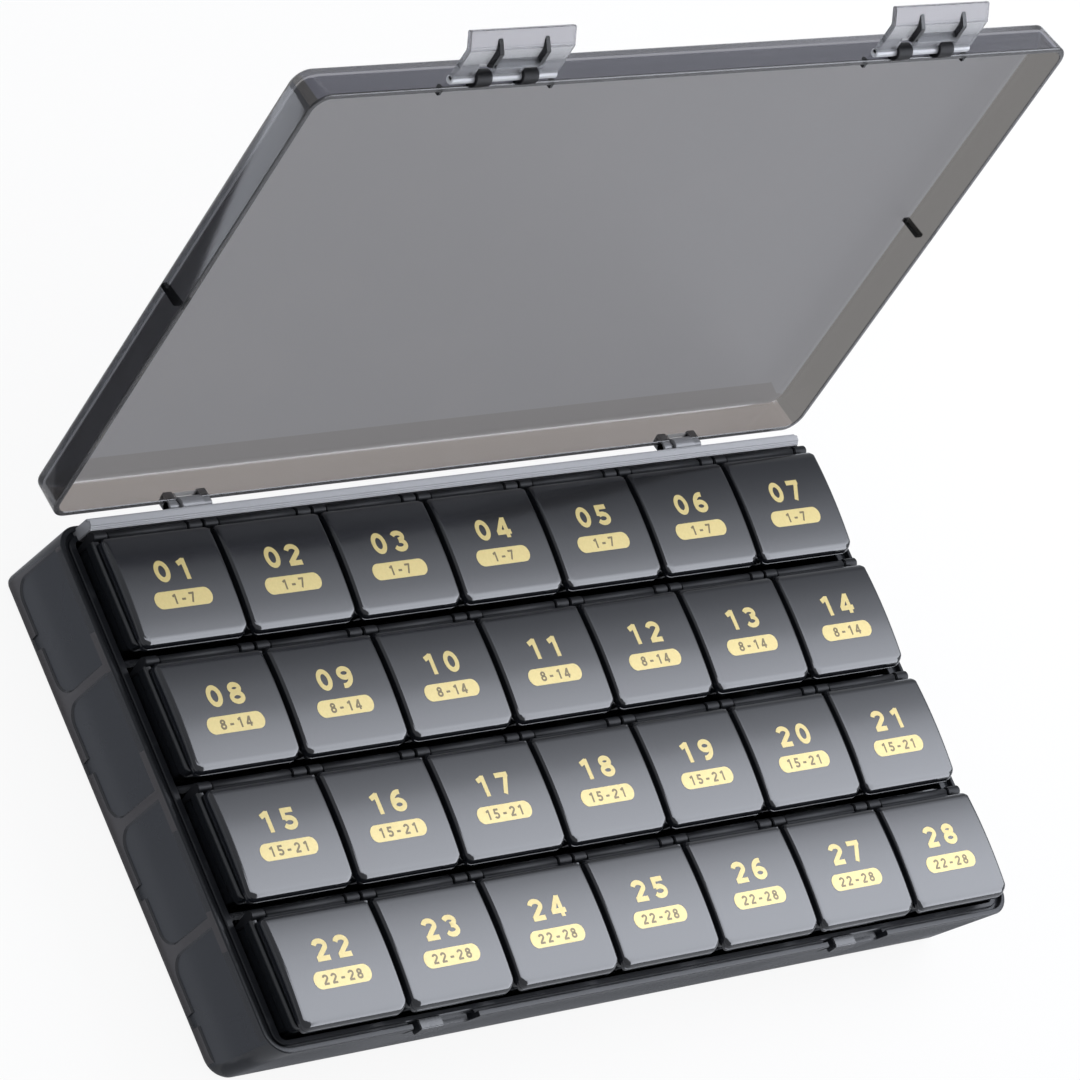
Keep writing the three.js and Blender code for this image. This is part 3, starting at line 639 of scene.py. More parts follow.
# pill boxes: tapered cup, collar under the lid and two hinge ears
boxShape = {
    "halfWidth": 14.7, "halfDepth": 12.8, "height": 23.5, "corner": 1.6, "taper": 0.5, "frontTaper": 1.7,
    "wall": 1.1, "floor": 1.2, "collarHeight": 2.6, "collarStep": 0.5, "rimRound": 0.35, "footRound": 0.7,
    "footFlat": 3.0, "innerCorner": 1.3, "innerFoot": ((0.0, 0.8), (0.25, 0.2), (0.9, 0.0)), "stepEase": 0.15,
    "stepBend": (0.35, 0.45), "rimEase": 0.2, "earWidth": 3.8, "earRadius": 1.15, "earDrop": 3.2, "earBack": 0.55,
    "notchHalf": 10.9, "notchFront": 10.5, "notchDrop": 0.9, "notchEase": 0.3,
}


def boxMesh():
    shape = boxShape
    half, deep, high, wall = shape["halfWidth"], shape["halfDepth"], shape["height"], shape["wall"]
    under = shape["collarStep"]

    def outline(inset, front, corner):
        return roundedOutline(inset - half, half - inset, inset - deep + front, deep - inset, (corner,) * 4, 6, 12, 10)

    def rim(drop):
        def height(point, normal):
            across = smooth((shape["notchHalf"] - abs(point.x)) / shape["notchEase"] + 0.5)
            back = smooth((point.y - shape["notchFront"]) / shape["notchEase"] + 0.5)
            return high - drop - shape["notchDrop"] * across * back
        return height

    collar = outline(0, 0, shape["corner"])
    draft = under + shape["taper"]
    foot = outline(draft, shape["frontTaper"], shape["corner"])
    inside = outline(draft + wall, shape["frontTaper"], shape["innerCorner"])
    base = high - shape["collarHeight"]
    footRound, rimRound = shape["footRound"], shape["rimRound"]
    rings = [ringOf(foot, footRound + shape["footFlat"], 0.0)]
    rings.extend(ringOf(foot, footRound * left, footRound * came) for came, left in roundOver(4))
    rings.append(ringOf(collar, under, base - under))
    rings.append(ringOf(collar, under * shape["stepBend"][0], base - under * shape["stepBend"][1]))
    rings.append(ringOf(collar, 0.0, base + shape["stepEase"]))
    rings.extend(ringOf(collar, rimRound * came, rim(rimRound * left)) for came, left in roundOver(3))
    rings.append(ringOf(collar, under + wall - shape["rimEase"], rim(0.0)))
    rings.append(ringOf(collar, under + wall, rim(shape["rimEase"])))
    rings.extend(ringOf(inside, inset, shape["floor"] + rise) for inset, rise in shape["innerFoot"])
    solid = Solid()
    solid.loft(rings)
    axisY, axisZ, radius = lidShape["barrelY"], lidShape["barrelZ"], shape["earRadius"]
    profile = sweep(axisY, axisZ, radius, radius, 0, 180, 10)
    low = base - shape["earDrop"]
    profile += [(axisY - radius, base), (deep - under - wall, low), (deep - under - shape["earBack"], low)]
    for side in (-1, 1):
        ends = sorted((side * half, side * (half - shape["earWidth"])))
        solid.add(prism(profile, *ends, 0.18), slot=1)
    return solid.mesh("box", sharpAngle=45)


lidData = lidMesh()
boxData = boxMesh()
for week in range(1, 5):
    for day in range(1, 8):
        tag = f"week{week}_day{day}"
        low, high = boxOf("box_" + tag)
        spot = ((low.x + high.x) / 2, low.y + boxShape["halfDepth"], low.z)
        place("pillBox_" + tag, boxData, [boxPlastic, hingePlastic], "box_" + tag, ["box_" + tag], spot)
        place("flipLid_" + tag, lidData, [lidPlastic, hingePlastic], "lid_" + tag, ["lid_" + tag], spot)
        marks = place("marks_" + tag, marksMesh(week, day), [goldPrint, badgeInk], "lid_" + tag, [], spot)
print("boxes, lids and marks made")


# tray: drafted walls, grooved rim, four week pockets, band and lugs for the cover, catches for the latches
trayShape = {
    "halfWidth": 109.5, "front": -58.75, "back": 58.75, "height": 21.4, "floor": 1.6, "sideDraft": 1.1,
    "frontDraft": 3.6, "backDraft": 0.8, "rimCorner": 5.5, "footCorner": 5.0, "footBackCorner": 2.0,
    "leastCorner": 0.3, "footChamfer": 2.0, "footEase": (0.4, 0.05), "rimRound": 0.35,
    "lipCorner": 4.5, "ridgeCorner": 3.1, "wellCorner": 1.4, "edgeEase": 0.15, "ridgeEase": 0.2, "wellRound": 0.6,
    "sideLip": 1.0, "sideGroove": 1.7, "endLip": 1.2, "endGroove": 0.7, "grooveDepth": 1.2, "ridgeStep": 0.5,
    "pocketHalf": 105.1, "pocketFront": 13.2, "pocketBack": 13.45, "frontRow": -42.5, "rowSpacing": 28.2, "rows": 4,
    "pocketTaper": 1.7, "partitionDrop": 1.4, "partitionSink": 0.4, "partitionOverlap": 0.3, "partitionEase": 0.25,
    "bandWidth": 2.6, "bandRise": 4.7, "bandStep": 0.6, "bandInset": 5.5, "bandBackInset": 0.6,
    "bandEase": 0.18, "bandFoot": 1.6, "bandGrooveDrops": (0.1, 0.1, 0.25), "bandTopDrop": 0.3,
    "axisY": 60.35, "axisZ": 21.0, "hinges": (-72.27, 72.27), "lugHalf": 3.0, "lugRadius": 2.0, "lugBore": 1.2,
    "panelDepth": 0.4, "panelRib": 2.6, "panelFoot": 3.6, "panelTop": 2.4, "panelCorner": 4.0, "footNotch": 3.0,
    "notchSlant": 0.2, "panelProud": 0.6, "panelFlare": (1.075, 1.09),
    # where the tones change: on the top of the rim, and on the end walls
    "rimBand": 1.5, "rimTilt": 0.3, "endTilt": 0.9, "endReach": 2.0, "panelShare": 0.7,
}
catchShape = {
    "places": (-61.0, 61.0), "recessWidth": 18.5, "recessShift": 1.0, "recessDrop": 2.4, "slotWidth": 1.2,
    "slotDrop": 4.2, "catchInset": 1.9, "catchWidth": 7.7, "catchSlope": 1.4, "catchHeight": 3.0, "catchReach": 0.4,
    "recessSkin": 0.01,
}


def trayOutline(side, end, radius):
    shape = trayShape
    return roundedOutline(side - shape["halfWidth"], shape["halfWidth"] - side, shape["front"] + end,
                          shape["back"] - end, (radius,) * 4)


def trayShell():
    shape = trayShape
    high, chamfer, rim, ease = shape["height"], shape["footChamfer"], shape["rimRound"], shape["edgeEase"]

    def footRing(inset, z):
        # each ring has its own corners, since the sharp back ones are smaller than the chamfer
        back = max(shape["footBackCorner"] - inset, shape["leastCorner"])
        ahead = shape["footCorner"] - inset
        side = shape["halfWidth"] - shape["sideDraft"] - inset
        outline = roundedOutline(-side, side, shape["front"] + shape["frontDraft"] + inset,
                                 shape["back"] - shape["backDraft"] - inset, (back, back, ahead, ahead))
        return ringOf(outline, 0.0, z)

    sole, start = shape["footEase"]
    rings = [footRing(chamfer + sole, 0.0), footRing(chamfer, start)]
    rings.extend(footRing(chamfer * left, start + (chamfer - start) * came) for came, left in roundOver(4, 1))
    edge = trayOutline(0, 0, shape["rimCorner"])
    rings.extend(ringOf(edge, rim * came, high - rim * left) for came, left in roundOver(4))
    lip = trayOutline(shape["sideLip"], shape["endLip"], shape["lipCorner"])
    groove = high - shape["grooveDepth"]
    rings.extend((ringOf(lip, -ease, high), ringOf(lip, 0.0, high - ease), ringOf(lip, 0.0, groove)))
    ridge = trayOutline(shape["sideLip"] + shape["sideGroove"], shape["endLip"] + shape["endGroove"],
                        shape["ridgeCorner"])
    ridgeTop, soft = high - shape["ridgeStep"], shape["ridgeEase"]
    rings.extend((ringOf(ridge, 0.0, groove), ringOf(ridge, 0.0, ridgeTop - soft), ringOf(ridge, soft, ridgeTop)))
    frontWell = shape["frontRow"] - shape["pocketFront"]
    backWell = shape["frontRow"] + (shape["rows"] - 1) * shape["rowSpacing"] + shape["pocketBack"]
    half = shape["pocketHalf"]
    well, deep = (roundedOutline(-half, half, front, backWell, (shape["wellCorner"],) * 4)
                  for front in (frontWell, frontWell + shape["pocketTaper"]))
    floor, bend = shape["floor"], shape["wellRound"]
    rings.extend((ringOf(well, -ease, ridgeTop), ringOf(well, 0.0, ridgeTop - ease), ringOf(deep, 0.0, floor + bend),
                  ringOf(deep, bend, floor)))
    solid = Solid()
    solid.loft(rings)
    return solid


def trayExtras(solid):
    shape = trayShape
    top, low = shape["height"] - shape["partitionDrop"], shape["floor"] - shape["partitionSink"]
    half = shape["pocketHalf"] + shape["partitionOverlap"]
    for row in range(shape["rows"] - 1):
        behind = shape["frontRow"] + row * shape["rowSpacing"] + shape["pocketBack"]
        ahead = shape["frontRow"] + (row + 1) * shape["rowSpacing"] - shape["pocketFront"]
        profile = [(behind, low), (ahead + shape["pocketTaper"], low), (ahead, top), (behind, top)]
        solid.add(prism(profile, -half, half, shape["partitionEase"]))
    back = shape["back"] - shape["bandBackInset"]
    front = back - shape["bandWidth"]
    foot, crest, step = shape["height"] - shape["bandFoot"], shape["height"] + shape["bandRise"], shape["bandStep"]
    drops = shape["bandGrooveDrops"]
    reach = shape["halfWidth"] - shape["bandInset"]
    profile = [(front, foot), (back, foot), (back, crest - step), (back - step, crest - step - drops[0]),
               (back - step, crest), (front + step, crest - shape["bandTopDrop"]),
               (front + step, crest - step - drops[1]), (front, crest - step - drops[2])]
    # the band and the lugs below are slot 1, painted pale grey as a reflection
    solid.add(prism(profile, -reach, reach, shape["bandEase"]), slot=1)
    for x in shape["hinges"]:
        solid.add(tube(x - shape["lugHalf"], x + shape["lugHalf"], shape["axisY"], shape["axisZ"],
                       shape["lugRadius"], shape["lugBore"]), slot=1)


def endPanelCutters():
    # shallow panels between the upright ribs of both tray ends, each with a small notch under its middle
    shape = trayShape
    rise = shape["height"] - shape["footChamfer"]
    tilt = math.atan2(shape["sideDraft"], rise)
    wall = shape["halfWidth"] - shape["sideDraft"] * (shape["height"] - shape["panelFoot"]) / rise
    height = shape["height"] - shape["panelTop"] - shape["panelFoot"]
    half = (shape["rowSpacing"] - shape["panelRib"]) / 2
    corner, notch, slant = shape["panelCorner"], shape["footNotch"] / 2, shape["notchSlant"]
    drop = shape["panelFoot"] / 2
    outline = [(-half, height)] + sweep(corner - half, corner, corner, corner, 180, 270, 8)
    outline += [(-notch, 0), (slant - notch, -drop), (notch - slant, -drop), (notch, 0)]
    outline += sweep(half - corner, corner, corner, corner, 270, 360, 8) + [(half, height)]
    wider, taller = shape["panelFlare"]
    inner = [(-shape["panelDepth"], y, z) for y, z in outline]
    outer = [(shape["panelProud"], y * wider, (z - height / 2) * taller + height / 2) for y, z in outline]
    cutters = Solid()
    for row in range(shape["rows"]):
        for side in (-1, 1):
            seat = (Matrix.Translation((side * wall, shape["frontRow"] + row * shape["rowSpacing"], shape["panelFoot"]))
                    @ Matrix.Rotation(side * tilt, 4, "Y") @ Matrix.Rotation(0 if side > 0 else math.pi, 4, "Z"))
            cutters.add(block(inner, outer), seat)
    return cutters


def frontRecess(x):
    # left and right end of a recess in the front rim, and the y of its back
    shape = catchShape
    left = x - shape["recessShift"] - shape["recessWidth"] / 2
    return left, left + shape["recessWidth"], trayShape["front"] + trayShape["endLip"] + trayShape["endGroove"]


def recessCutters():
    shape = catchShape
    high, wide = trayShape["height"], shape["slotWidth"]
    low, drop = high - shape["recessDrop"], high - shape["slotDrop"]
    cutters = Solid()
    for x in shape["places"]:
        left, right, inner = frontRecess(x)
        outline = [(left, high + beyond), (left, drop), (left + wide, drop), (left + wide, low), (right - wide, low),
                   (right - wide, drop), (right, drop), (right, high + beyond)]
        cutters.add(plank(outline, trayShape["front"] - beyond, inner - shape["recessSkin"]))
    return cutters


def catchBlocks(solid):
    shape = catchShape
    high = trayShape["height"]
    base = high - shape["catchHeight"]
    for x in shape["places"]:
        left, _, inner = frontRecess(x)
        left += shape["catchInset"]
        right = left + shape["catchWidth"]
        outline = [(left, base), (right, base), (right, high - shape["recessDrop"]),
                   (right - shape["catchSlope"], high), (left, high)]
        solid.add(plank(outline, trayShape["front"] - shape["catchReach"], inner, 0.2))


def tintTray(data):
    # the top of the rim is duller, the floors of the end panels are painted a darker, bluer shade, and the ribs and
    # foot round them are painted lighter where they catch light
    shape = trayShape
    rise, rim = shape["height"] - shape["footChamfer"], shape["height"] - shape["rimBand"]
    ends, sunken = shape["pocketHalf"] + shape["endReach"], shape["panelDepth"] * shape["panelShare"]
    for face in data.polygons:
        x, _, z = face.center / mm
        if face.normal.z > shape["rimTilt"] and z > rim:
            face.material_index = 3
        if abs(face.normal.x) > shape["endTilt"] and abs(x) > ends and z <= rim:
            wall = shape["halfWidth"] - shape["sideDraft"] * min(1.0, (shape["height"] - z) / rise)
            face.material_index = 1 if abs(x) < wall - sunken else 2


trayPiece = place("tray_shell", trayShell().mesh("tray_shell"), [trayPlastic, panelShadePlastic, ribLightPlastic, rimPlastic],
                  "tray", ["tray"])
cut(trayPiece, endPanelCutters())
cut(trayPiece, recessCutters())
tintTray(trayPiece.data)
fittings = Solid()
trayExtras(fittings)
catchBlocks(fittings)
place("tray_fittings", fittings.mesh("tray_fittings"), [trayPlastic, hingeSheenPlastic], "tray")
print("tray made")

# smoke cover, drawn shut and then swung open about its hinge
coverShape = {
    "halfWidth": 109.8, "front": -59.25, "back": 60.05, "rim": 21.7, "depth": 8.2, "wall": 1.3, "plate": 1.0,
    "draft": 0.5, "corner": 4.5, "leastCorner": 0.3, "rimRound": 0.35, "rimEase": 0.15, "rimLine": 0.3,
    "edgeRound": 0.9, "innerRound": 1.3, "flatStart": 0.6, "shadeWidth": 5.5,
    # where the tones change: below the plate's top and its underside, how level a face is, and near the back wall
    "topBand": 0.4, "plateBand": 0.25, "levelFrom": 0.8, "shadeReach": 7.0, "leftBand": 0.01,
    "openAngle": 104.7, "ribWidth": 1.0, "ribReach": 1.5, "ribShare": 0.7,
    "nubWidth": 0.9, "nubReach": 0.9, "nubHeight": 1.6, "nubSpacing": 30.6,
    "pinRadius": 0.9, "cheekLength": 2.5, "cheekRadius": 1.25, "cheekRise": 3.0, "stopReach": 1.5, "gap": 0.3,
    "latches": (-61.0, 61.0), "latchAxisY": -60.85, "latchAxisZ": 22.3, "knuckleSpacing": 12.8, "knuckleLength": 4.4,
    "knuckleRadius": 1.8, "knuckleBore": 1.25, "knuckleFoot": 0.75,
}


def opened():
    shape = trayShape
    axis = Vector((0, shape["axisY"], shape["axisZ"]))
    return (Matrix.Translation(axis) @ Matrix.Rotation(-math.radians(coverShape["openAngle"]), 4, "X")
            @ Matrix.Translation(-axis))


def coverShell():
    shape = coverShape
    half, rim, top, wall = shape["halfWidth"], shape["rim"], shape["rim"] + shape["depth"], shape["wall"]

    def outline(inset):
        corner = max(shape["leastCorner"], shape["corner"] - inset)
        return roundedOutline(inset - half, half - inset, shape["front"] + inset, shape["back"] - inset,
                              (corner,) * 4)

    outer, inner = outline(0), outline(wall)
    draft, edge, soft, fillet = shape["draft"], shape["edgeRound"], shape["rimRound"], shape["innerRound"]
    flat, ease = shape["flatStart"], shape["rimEase"]
    rings = [ringOf(outer, soft * left, rim + soft * came) for came, left in roundOver(3)]
    rings.append(ringOf(outer, draft, top - edge))
    rings.extend(ringOf(outer, draft + edge * came, top - edge * left) for came, left in roundOver(6, 1))
    rings.append(ringOf(outer, draft + edge + flat, top))
    plate = top - shape["plate"]
    hollow = [ringOf(inner, -ease, rim), ringOf(inner, 0.0, rim + ease)]
    hollow.extend(ringOf(inner, draft + fillet * came, plate - fillet * left) for came, left in roundOver(4))
    hollow.append(ringOf(inner, draft + fillet + flat, plate))
    hollow.append(ringOf(outline(wall + draft + fillet + shape["shadeWidth"]), 0.0, plate))
    solid = Solid()
    solid.loft(list(reversed(hollow)) + rings)
    # slots: plate, end walls, wall by the hinge painted lighter beige as a reflection, rim line painted near black as
    # shade, left end's outside painted near black as shade, wall by the latches painted blue-grey as a reflection, and
    # the plate where the hinge's wall shows through it, painted darker as shade
    for index, face in enumerate(solid.faces):
        corners = [solid.points[corner] for corner in face]
        middle = sum(corners, Vector()) / len(corners)
        across = (corners[1] - corners[0]).cross(corners[-1] - corners[0]).normalized()
        if len(face) > 4 or middle.z > top - shape["topBand"]:
            solid.slots[index] = 0
        elif middle.z > plate - shape["plateBand"] and abs(across.z) > shape["levelFrom"]:
            solid.slots[index] = 6 if middle.y > shape["back"] - shape["shadeReach"] else 0
        elif middle.z < rim + shape["rimLine"]:
            solid.slots[index] = 3
        elif abs(across.y) > abs(across.x):
            solid.slots[index] = 2 if middle.y > 0 else 5
        else:
            solid.slots[index] = 4 if middle.x < shape["leftBand"] - half + draft else 1
    return solid


def coverRooms():
    # rooms in the back wall that the tray's lugs turn in
    shape = coverShape
    half = trayShape["lugHalf"] + shape["gap"]
    top = trayShape["axisZ"] + trayShape["lugRadius"] + shape["gap"]
    cutters = Solid()
    for x in trayShape["hinges"]:
        cutters.add(brick(x - half, x + half, shape["back"] - shape["wall"] - beyond, shape["back"] + beyond,
                          shape["rim"] - beyond, top, 0.0))
    return cutters


def coverFittings(solid):
    shape = coverShape
    rim, wall, depth = shape["rim"], shape["wall"], shape["depth"] - shape["plate"]
    middle, half = (shape["front"] + shape["back"]) / 2, shape["ribWidth"] / 2
    start = shape["front"] + wall / 2
    # the ribs on the end walls and the nubs below are slot 0, painted near black as shade
    for side in (-1, 1):
        solid.add(brick(side * (shape["halfWidth"] - wall / 2), side * (shape["halfWidth"] - wall - shape["ribReach"]),
                        middle - half, middle + half, rim + depth * (1 - shape["ribShare"]),
                        rim + depth + shape["plate"] / 2, 0.12))
    wide, radius = shape["nubWidth"] / 2, shape["knuckleRadius"]
    latchY, latchZ = shape["latchAxisY"], shape["latchAxisZ"]
    for x in shape["latches"]:
        for side in (-1, 1):
            nub = x + side * shape["nubSpacing"] / 2
            solid.add(brick(nub - wide, nub + wide, start, shape["front"] + wall + shape["nubReach"], rim,
                            rim + shape["nubHeight"]))
            eye = x + side * shape["knuckleSpacing"] / 2
            low, high = eye - shape["knuckleLength"] / 2, eye + shape["knuckleLength"] / 2
            # the knuckles and their feet are slot 1, painted dark as shade
            solid.add(tube(low, high, latchY, latchZ, radius, shape["knuckleBore"]), slot=1)
            solid.add(brick(low, high, latchY + radius * shape["knuckleFoot"], start, rim, latchZ + radius), slot=1)
    axisY, axisZ, cheek, reach = trayShape["axisY"], trayShape["axisZ"], shape["cheekRadius"], shape["stopReach"]
    inner = trayShape["lugHalf"] + shape["gap"]
    outer = inner + shape["cheekLength"]
    turn = Matrix.Translation((0, axisY, axisZ)) @ Matrix.Rotation(math.radians(shape["openAngle"]), 4, "X")
    for x in trayShape["hinges"]:
        # the pins, cheeks and stops are slot 2, the band's pale grey painted reflection
        solid.add(bar(x - outer, x + outer, axisY, axisZ, shape["pinRadius"], 24, 0.1), slot=2)
        for side in (-1, 1):
            low, high = sorted((x + side * inner, x + side * outer))
            solid.add(bar(low, high, axisY, axisZ, cheek), slot=2)
            solid.add(brick(low, high, axisY - cheek, axisY + cheek, axisZ, axisZ + shape["cheekRise"]), slot=2)
            solid.add(brick(low, high, -reach, 0, -reach, 0, 0.12), turn, slot=2)


coverPiece = place("cover_shell", coverShell().mesh("cover_shell"),
                   [coverSmoke, coverWall, hingeWallSheen, coverDarkShade, leftWallShade, latchWallSheen, coverShade], "cover", ["cover"])
cut(coverPiece, coverRooms())
coverPiece.data.transform(Matrix.Scale(mm, 4) @ opened() @ Matrix.Scale(1 / mm, 4))
fittings = Solid()
coverFittings(fittings)
place("cover_fittings", fittings.mesh("cover_fittings", opened()), [coverDarkShade, knuckleShade, hingeSheenPlastic], "cover")
print("cover made")

# two snap latches, drawn flipped out level in front of the shut cover and swung up with it
latchShape = {
    "halfWidth": 14.5, "thickness": 1.2, "arm": 8.0, "tab": 3.9, "tabAngle": 36.0, "rodRadius": 0.95,
    "knuckleSpacing": 12.8, "knuckleLength": 4.4, "gap": 0.3, "window": 3.6, "armOverlap": 0.4,
    "gussetWidth": 1.4, "gussetRise": 1.1, "gussetTop": 2.2, "snapReach": 4.2, "snapHeight": 1.5, "snapThickness": 1.3,
    "heelWidth": 3.0, "heelInset": 1.0, "heelReach": 1.5, "heelRise": 1.2,
}


def latchMesh(name, x):
    shape = latchShape
    half, thin, arm = shape["halfWidth"], shape["thickness"] / 2, shape["arm"]
    edge, snap = -shape["window"], -shape["snapReach"]
    turn = math.radians(shape["tabAngle"])
    along, up = math.cos(turn), math.sin(turn)
    mitre = thin * math.tan(turn / 2)
    tip, rise = -arm - shape["tab"] * along, shape["tab"] * up
    eye, room = shape["knuckleSpacing"] / 2, shape["knuckleLength"] / 2 + shape["gap"]
    solid = Solid()
    leaf = [(edge, -thin), (edge, thin), (mitre - arm, thin), (tip + thin * up, rise + thin * along),
            (tip - thin * up, rise - thin * along), (-arm - mitre, -thin)]
    solid.add(prism(leaf, -half, half, 0.2, 3), slot=1)
    # the arm is slot 1, painted a lighter grey as light, and the bent tab beyond it slot 0
    for index, face in enumerate(solid.faces):
        if sum(solid.points[corner].y for corner in face) / len(face) < -arm:
            solid.slots[index] = 0
    near = [(0, -thin), (0, thin), (edge - shape["armOverlap"], thin), (edge - shape["armOverlap"], -thin)]
    for low, high in ((-half, -eye - room), (room - eye, eye - room), (eye + room, half)):
        solid.add(prism(near, low, high, 0.15), slot=1)
    # the rod is slot 3, painted near white as a highlight
    solid.add(bar(-half, half, 0, 0, shape["rodRadius"], 24, 0.2), slot=3)
    crest = -thin - shape["gussetRise"]
    top = (-arm - shape["gussetTop"] * along - thin * up, shape["gussetTop"] * up - thin * along)
    gusset = [(edge, 0), (edge, -thin), (snap, crest), (-arm, crest), top, (-arm, 0)]
    for side in (-1, 1):
        middle, wide = side * eye, shape["gussetWidth"] / 2
        # the gussets are slot 2, painted near black as shade
        solid.add(prism(gusset, middle - wide, middle + wide, 0.15), slot=2)
        end = side * (half - shape["heelInset"])
        solid.add(brick(end, end - side * shape["heelWidth"], 0, shape["heelReach"], 0, shape["heelRise"]), slot=1)
    span, hook, thick = eye - shape["gussetWidth"] / 4, -thin - shape["snapHeight"], shape["snapThickness"]
    profile = [(snap, 0), (snap, hook), (snap - thick / 2, hook), (snap - thick, -thin), (snap - thick, 0)]
    solid.add(prism(profile, -span, span, 0.12), slot=1)
    at = Matrix.Translation((x, coverShape["latchAxisY"], coverShape["latchAxisZ"]))
    return solid.mesh(name, opened() @ at)


for x, body in zip(coverShape["latches"], ("latch_left", "latch_right")):
    place(body + "_snap", latchMesh(body + "_snap", x), [latchSmoke, latchArmLight, latchRibShade, latchRodHighlight], body, [body])
print("latches made")

# floor, light and camera
stageSet = {
    "floorLook": {"Base Color": (0.96, 0.96, 0.965, 1), "Roughness": 0.9, "Specular IOR Level": 0.2},
    "floorSize": 6.0, "floorDrop": 0.0002, "cardHeight": 0.0004, "floorGlow": 0.9,
    "worldStrength": 0.7, "worldColor": (0.93, 0.955, 1.0), "glowColor": (0.88, 0.915, 1.0),
    # corners and strength of each panel; only the softbox fades
    "panels": {
        "keyPanel": ([(0.35, -0.15, 0.6), (0.9, -0.15, 0.6), (0.9, 0.44, 0.6), (0.35, 0.44, 0.6)], 4.4),
        "softbox": ([(0.08, -0.12, 0.27), (0.46, -0.12, 0.27), (0.46, 0.2, 0.27), (0.08, 0.2, 0.27)], 8.3),
        "softboxCorner": ([(-0.08, -0.12, 0.27), (0.08, -0.12, 0.27), (0.08, 0.0, 0.27), (-0.08, 0.0, 0.27)], 7.0),
        "softboxFront": ([(0.25, -0.6, 0.11), (0.95, -0.6, 0.11), (0.46, -0.12, 0.27), (0.08, -0.12, 0.27)], 8.0)},
    "fadeSpan": {"From Min": -0.04, "From Max": 0.2},
    "fade": [(0.0, 1.0), (0.125, 0.95), (0.204, 0.87), (0.265, 0.81), (0.338, 0.7), (0.396, 0.61), (0.425, 0.56),
             (0.467, 0.44), (0.496, 0.36), (0.54, 0.31), (0.617, 0.25), (0.683, 0.185), (0.767, 0.125), (1.0, 0.05)],
    "cards": {"footCard": (-0.1145, -0.110, -0.06, 0.07, 0.85), "nearCard": (-0.132, -0.1145, -0.06, 0.07, 0.6),
              "farCard": (-0.2115, -0.132, 0.069, 0.16, 0.02), "streakCard": (-0.29, -0.2115, 0.1, 0.2, 5.5),
              "frontCard": (-0.112, 0.135, -0.066, -0.0553, 0.3)},
}
lensPlace = {"location": (-0.9878, -0.3530, 0.9736), "lens": 225.54, "sensor": 36.0, "clip": (0.05, 20),
             "across": (0.7094, -0.3856, 0.59), "backward": (-0.6987, -0.2744, 0.6607)}


def makeCamera():
    data = bpy.data.cameras.new("photoCamera")
    data.lens = lensPlace["lens"]
    data.sensor_width = lensPlace["sensor"]
    data.sensor_fit = "HORIZONTAL"
    data.clip_start, data.clip_end = lensPlace["clip"]
    camera = addObject("photoCamera", data)
    backward = Vector(lensPlace["backward"]).normalized()
    across = Vector(lensPlace["across"])
    across = (across - across.dot(backward) * backward).normalized()
    upward = backward.cross(across)
    camera.matrix_world = Matrix.LocRotScale(
        Vector(lensPlace["location"]), Matrix((across, upward, backward)).transposed().to_quaternion(), None)
    bpy.context.scene.camera = camera


def emitter(name, strengthFrom):
    material, tree, shader = startMaterial(name)
    tree.nodes.remove(shader)
    glow = node(tree, "ShaderNodeEmission", (0, 0), {"Color": (*stageSet["glowColor"], 1)})
    wire(tree, (glow, 0, tree.nodes["Material Output"], "Surface"))
    strengthFrom(tree, glow)
    return material


def softboxFade(tree, glow):
    # bright towards the object's front and fading out to the back, as the long reflections on the lids show
    where = node(tree, "ShaderNodeTexCoord", (-900, 0))
    parts = node(tree, "ShaderNodeSeparateXYZ", (-700, 0))
    span = node(tree, "ShaderNodeMapRange", (-500, 0), stageSet["fadeSpan"])
    curve = node(tree, "ShaderNodeFloatCurve", (-250, 0))
    points = curve.mapping.curves[0].points
    for spot in stageSet["fade"][1:-1]:
        points.new(*spot)
    points[0].location = stageSet["fade"][0]
    points[-1].location = stageSet["fade"][-1]
    curve.mapping.update()
    power = node(tree, "ShaderNodeMath", (-50, -100), {1: stageSet["panels"]["softbox"][1]}, operation="MULTIPLY")
    wire(tree, (where, "Object", parts, 0), (parts, "Y", span, "Value"), (span, "Result", curve, "Value"),
         (curve, "Value", power, 0), (power, 0, glow, "Strength"))


def evenGlow(strength):
    def strengthFrom(tree, glow):
        glow.inputs["Strength"].default_value = strength
    return strengthFrom


def stageSheet(name, corners, strengthFrom):
    data = bpy.data.meshes.new(name)
    data.from_pydata(corners, [], [(0, 3, 2, 1)])
    data.materials.append(emitter(name + "Glow", strengthFrom))
    sheet = addObject(name, data)
    sheet.visible_camera = False
    sheet.visible_transmission = False
    sheet.visible_shadow = False
    return sheet


def plainRays(tree, at):
    # 1 for camera and transmission rays, which see the plain white background
    rays = node(tree, "ShaderNodeLightPath", (at[0] - 300, at[1]))
    plain = node(tree, "ShaderNodeMath", at, operation="MAXIMUM")
    wire(tree, (rays, "Is Camera Ray", plain, 0), (rays, "Is Transmission Ray", plain, 1))
    return plain


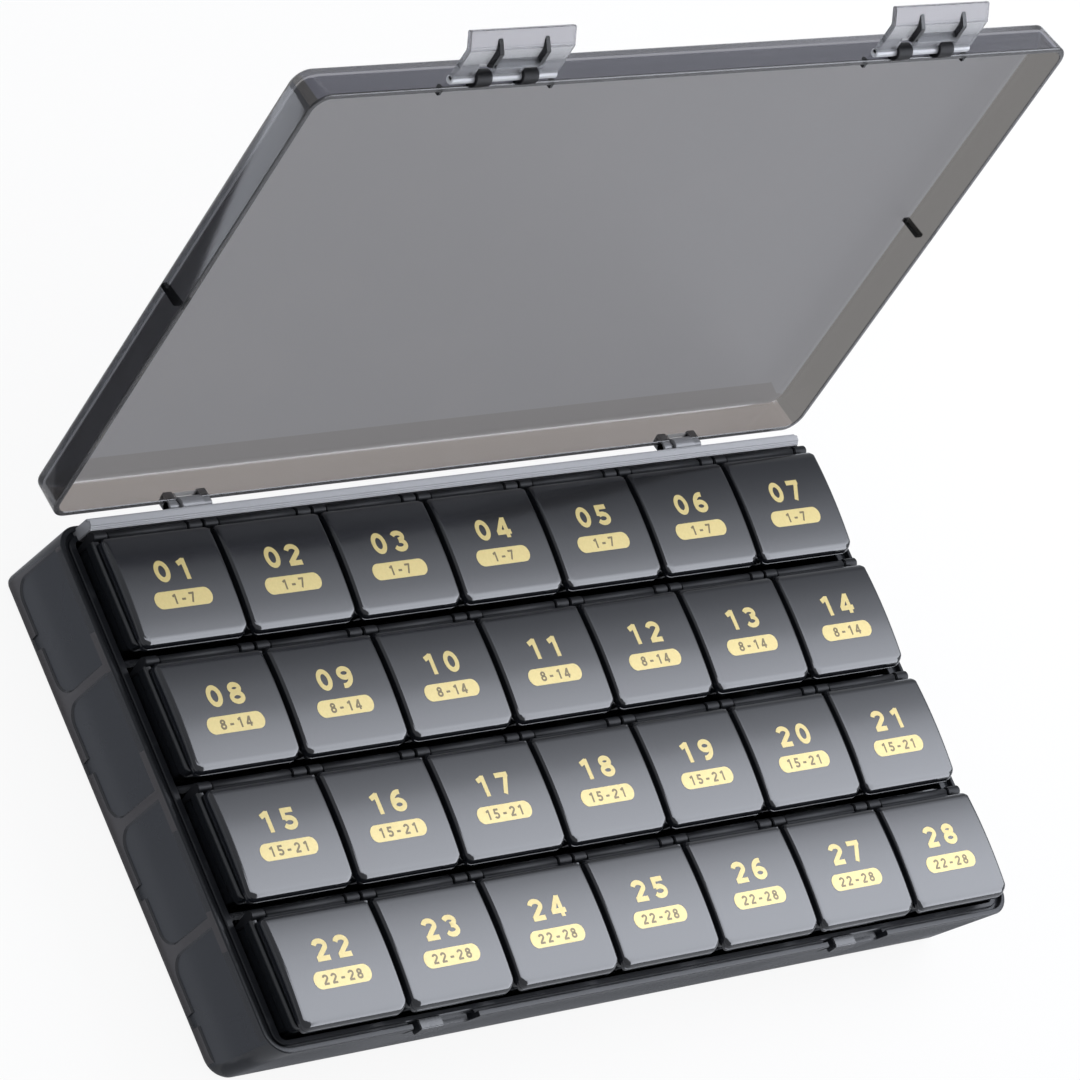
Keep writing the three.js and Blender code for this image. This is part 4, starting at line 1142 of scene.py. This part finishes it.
def makeLights():
    # one panel lights the object, and the others are only seen as reflections on the lids and their rolled fronts
    for name, (corners, strength) in stageSet["panels"].items():
        sheet = stageSheet(name, corners, softboxFade if name == "softbox" else evenGlow(strength))
        sheet.visible_diffuse = name == "keyPanel"
        sheet.visible_glossy = name != "keyPanel"
    # cards beside the object, seen only in reflections, keep the left walls and the front dark
    for name, (x0, x1, y0, y1, strength) in stageSet["cards"].items():
        corners = [(x, y, stageSet["cardHeight"]) for x, y in ((x0, y1), (x1, y1), (x1, y0), (x0, y0))]
        stageSheet(name, corners, evenGlow(strength)).visible_diffuse = False
    world = bpy.data.worlds.new("studio")
    bpy.context.scene.world = world
    world.use_nodes = True
    tree = world.node_tree
    plain = plainRays(tree, (-600, 0))
    lit = node(tree, "ShaderNodeMix", (-350, 0), {"A": stageSet["worldStrength"], "B": 1.0}, data_type="FLOAT")
    tint = node(tree, "ShaderNodeMix", (-350, 260), {"A": (*stageSet["worldColor"], 1), "B": (1, 1, 1, 1)},
                data_type="RGBA")
    sky = tree.nodes["Background"]
    wire(tree, (plain, 0, lit, "Factor"), (lit, "Result", sky, "Strength"), (plain, 0, tint, "Factor"),
         (tint, "Result", sky, "Color"))


def makeFloor():
    size = stageSet["floorSize"]
    data = bpy.data.meshes.new("floor")
    data.from_pydata([(-size, -size, 0), (size, -size, 0), (size, size, 0), (-size, size, 0)], [], [(0, 1, 2, 3)])
    floor = addObject("floor", data)
    floor.location.z = -stageSet["floorDrop"]
    material, tree, shader = startMaterial("floorPaper")
    setInputs(shader, stageSet["floorLook"])
    glow = node(tree, "ShaderNodeEmission", (0, -300))
    share = node(tree, "ShaderNodeMath", (-200, 300), {1: stageSet["floorGlow"]}, operation="MULTIPLY")
    blend = node(tree, "ShaderNodeMixShader", (300, 0))
    wire(tree, (plainRays(tree, (-400, 300)), 0, share, 0), (share, 0, blend, "Fac"), (shader, 0, blend, 1),
         (glow, 0, blend, 2), (blend, 0, tree.nodes["Material Output"], "Surface"))
    data.materials.append(material)


makeCamera()
makeLights()
makeFloor()
bpy.context.scene.view_settings.view_transform = "Standard"
print("stage, light and camera set")
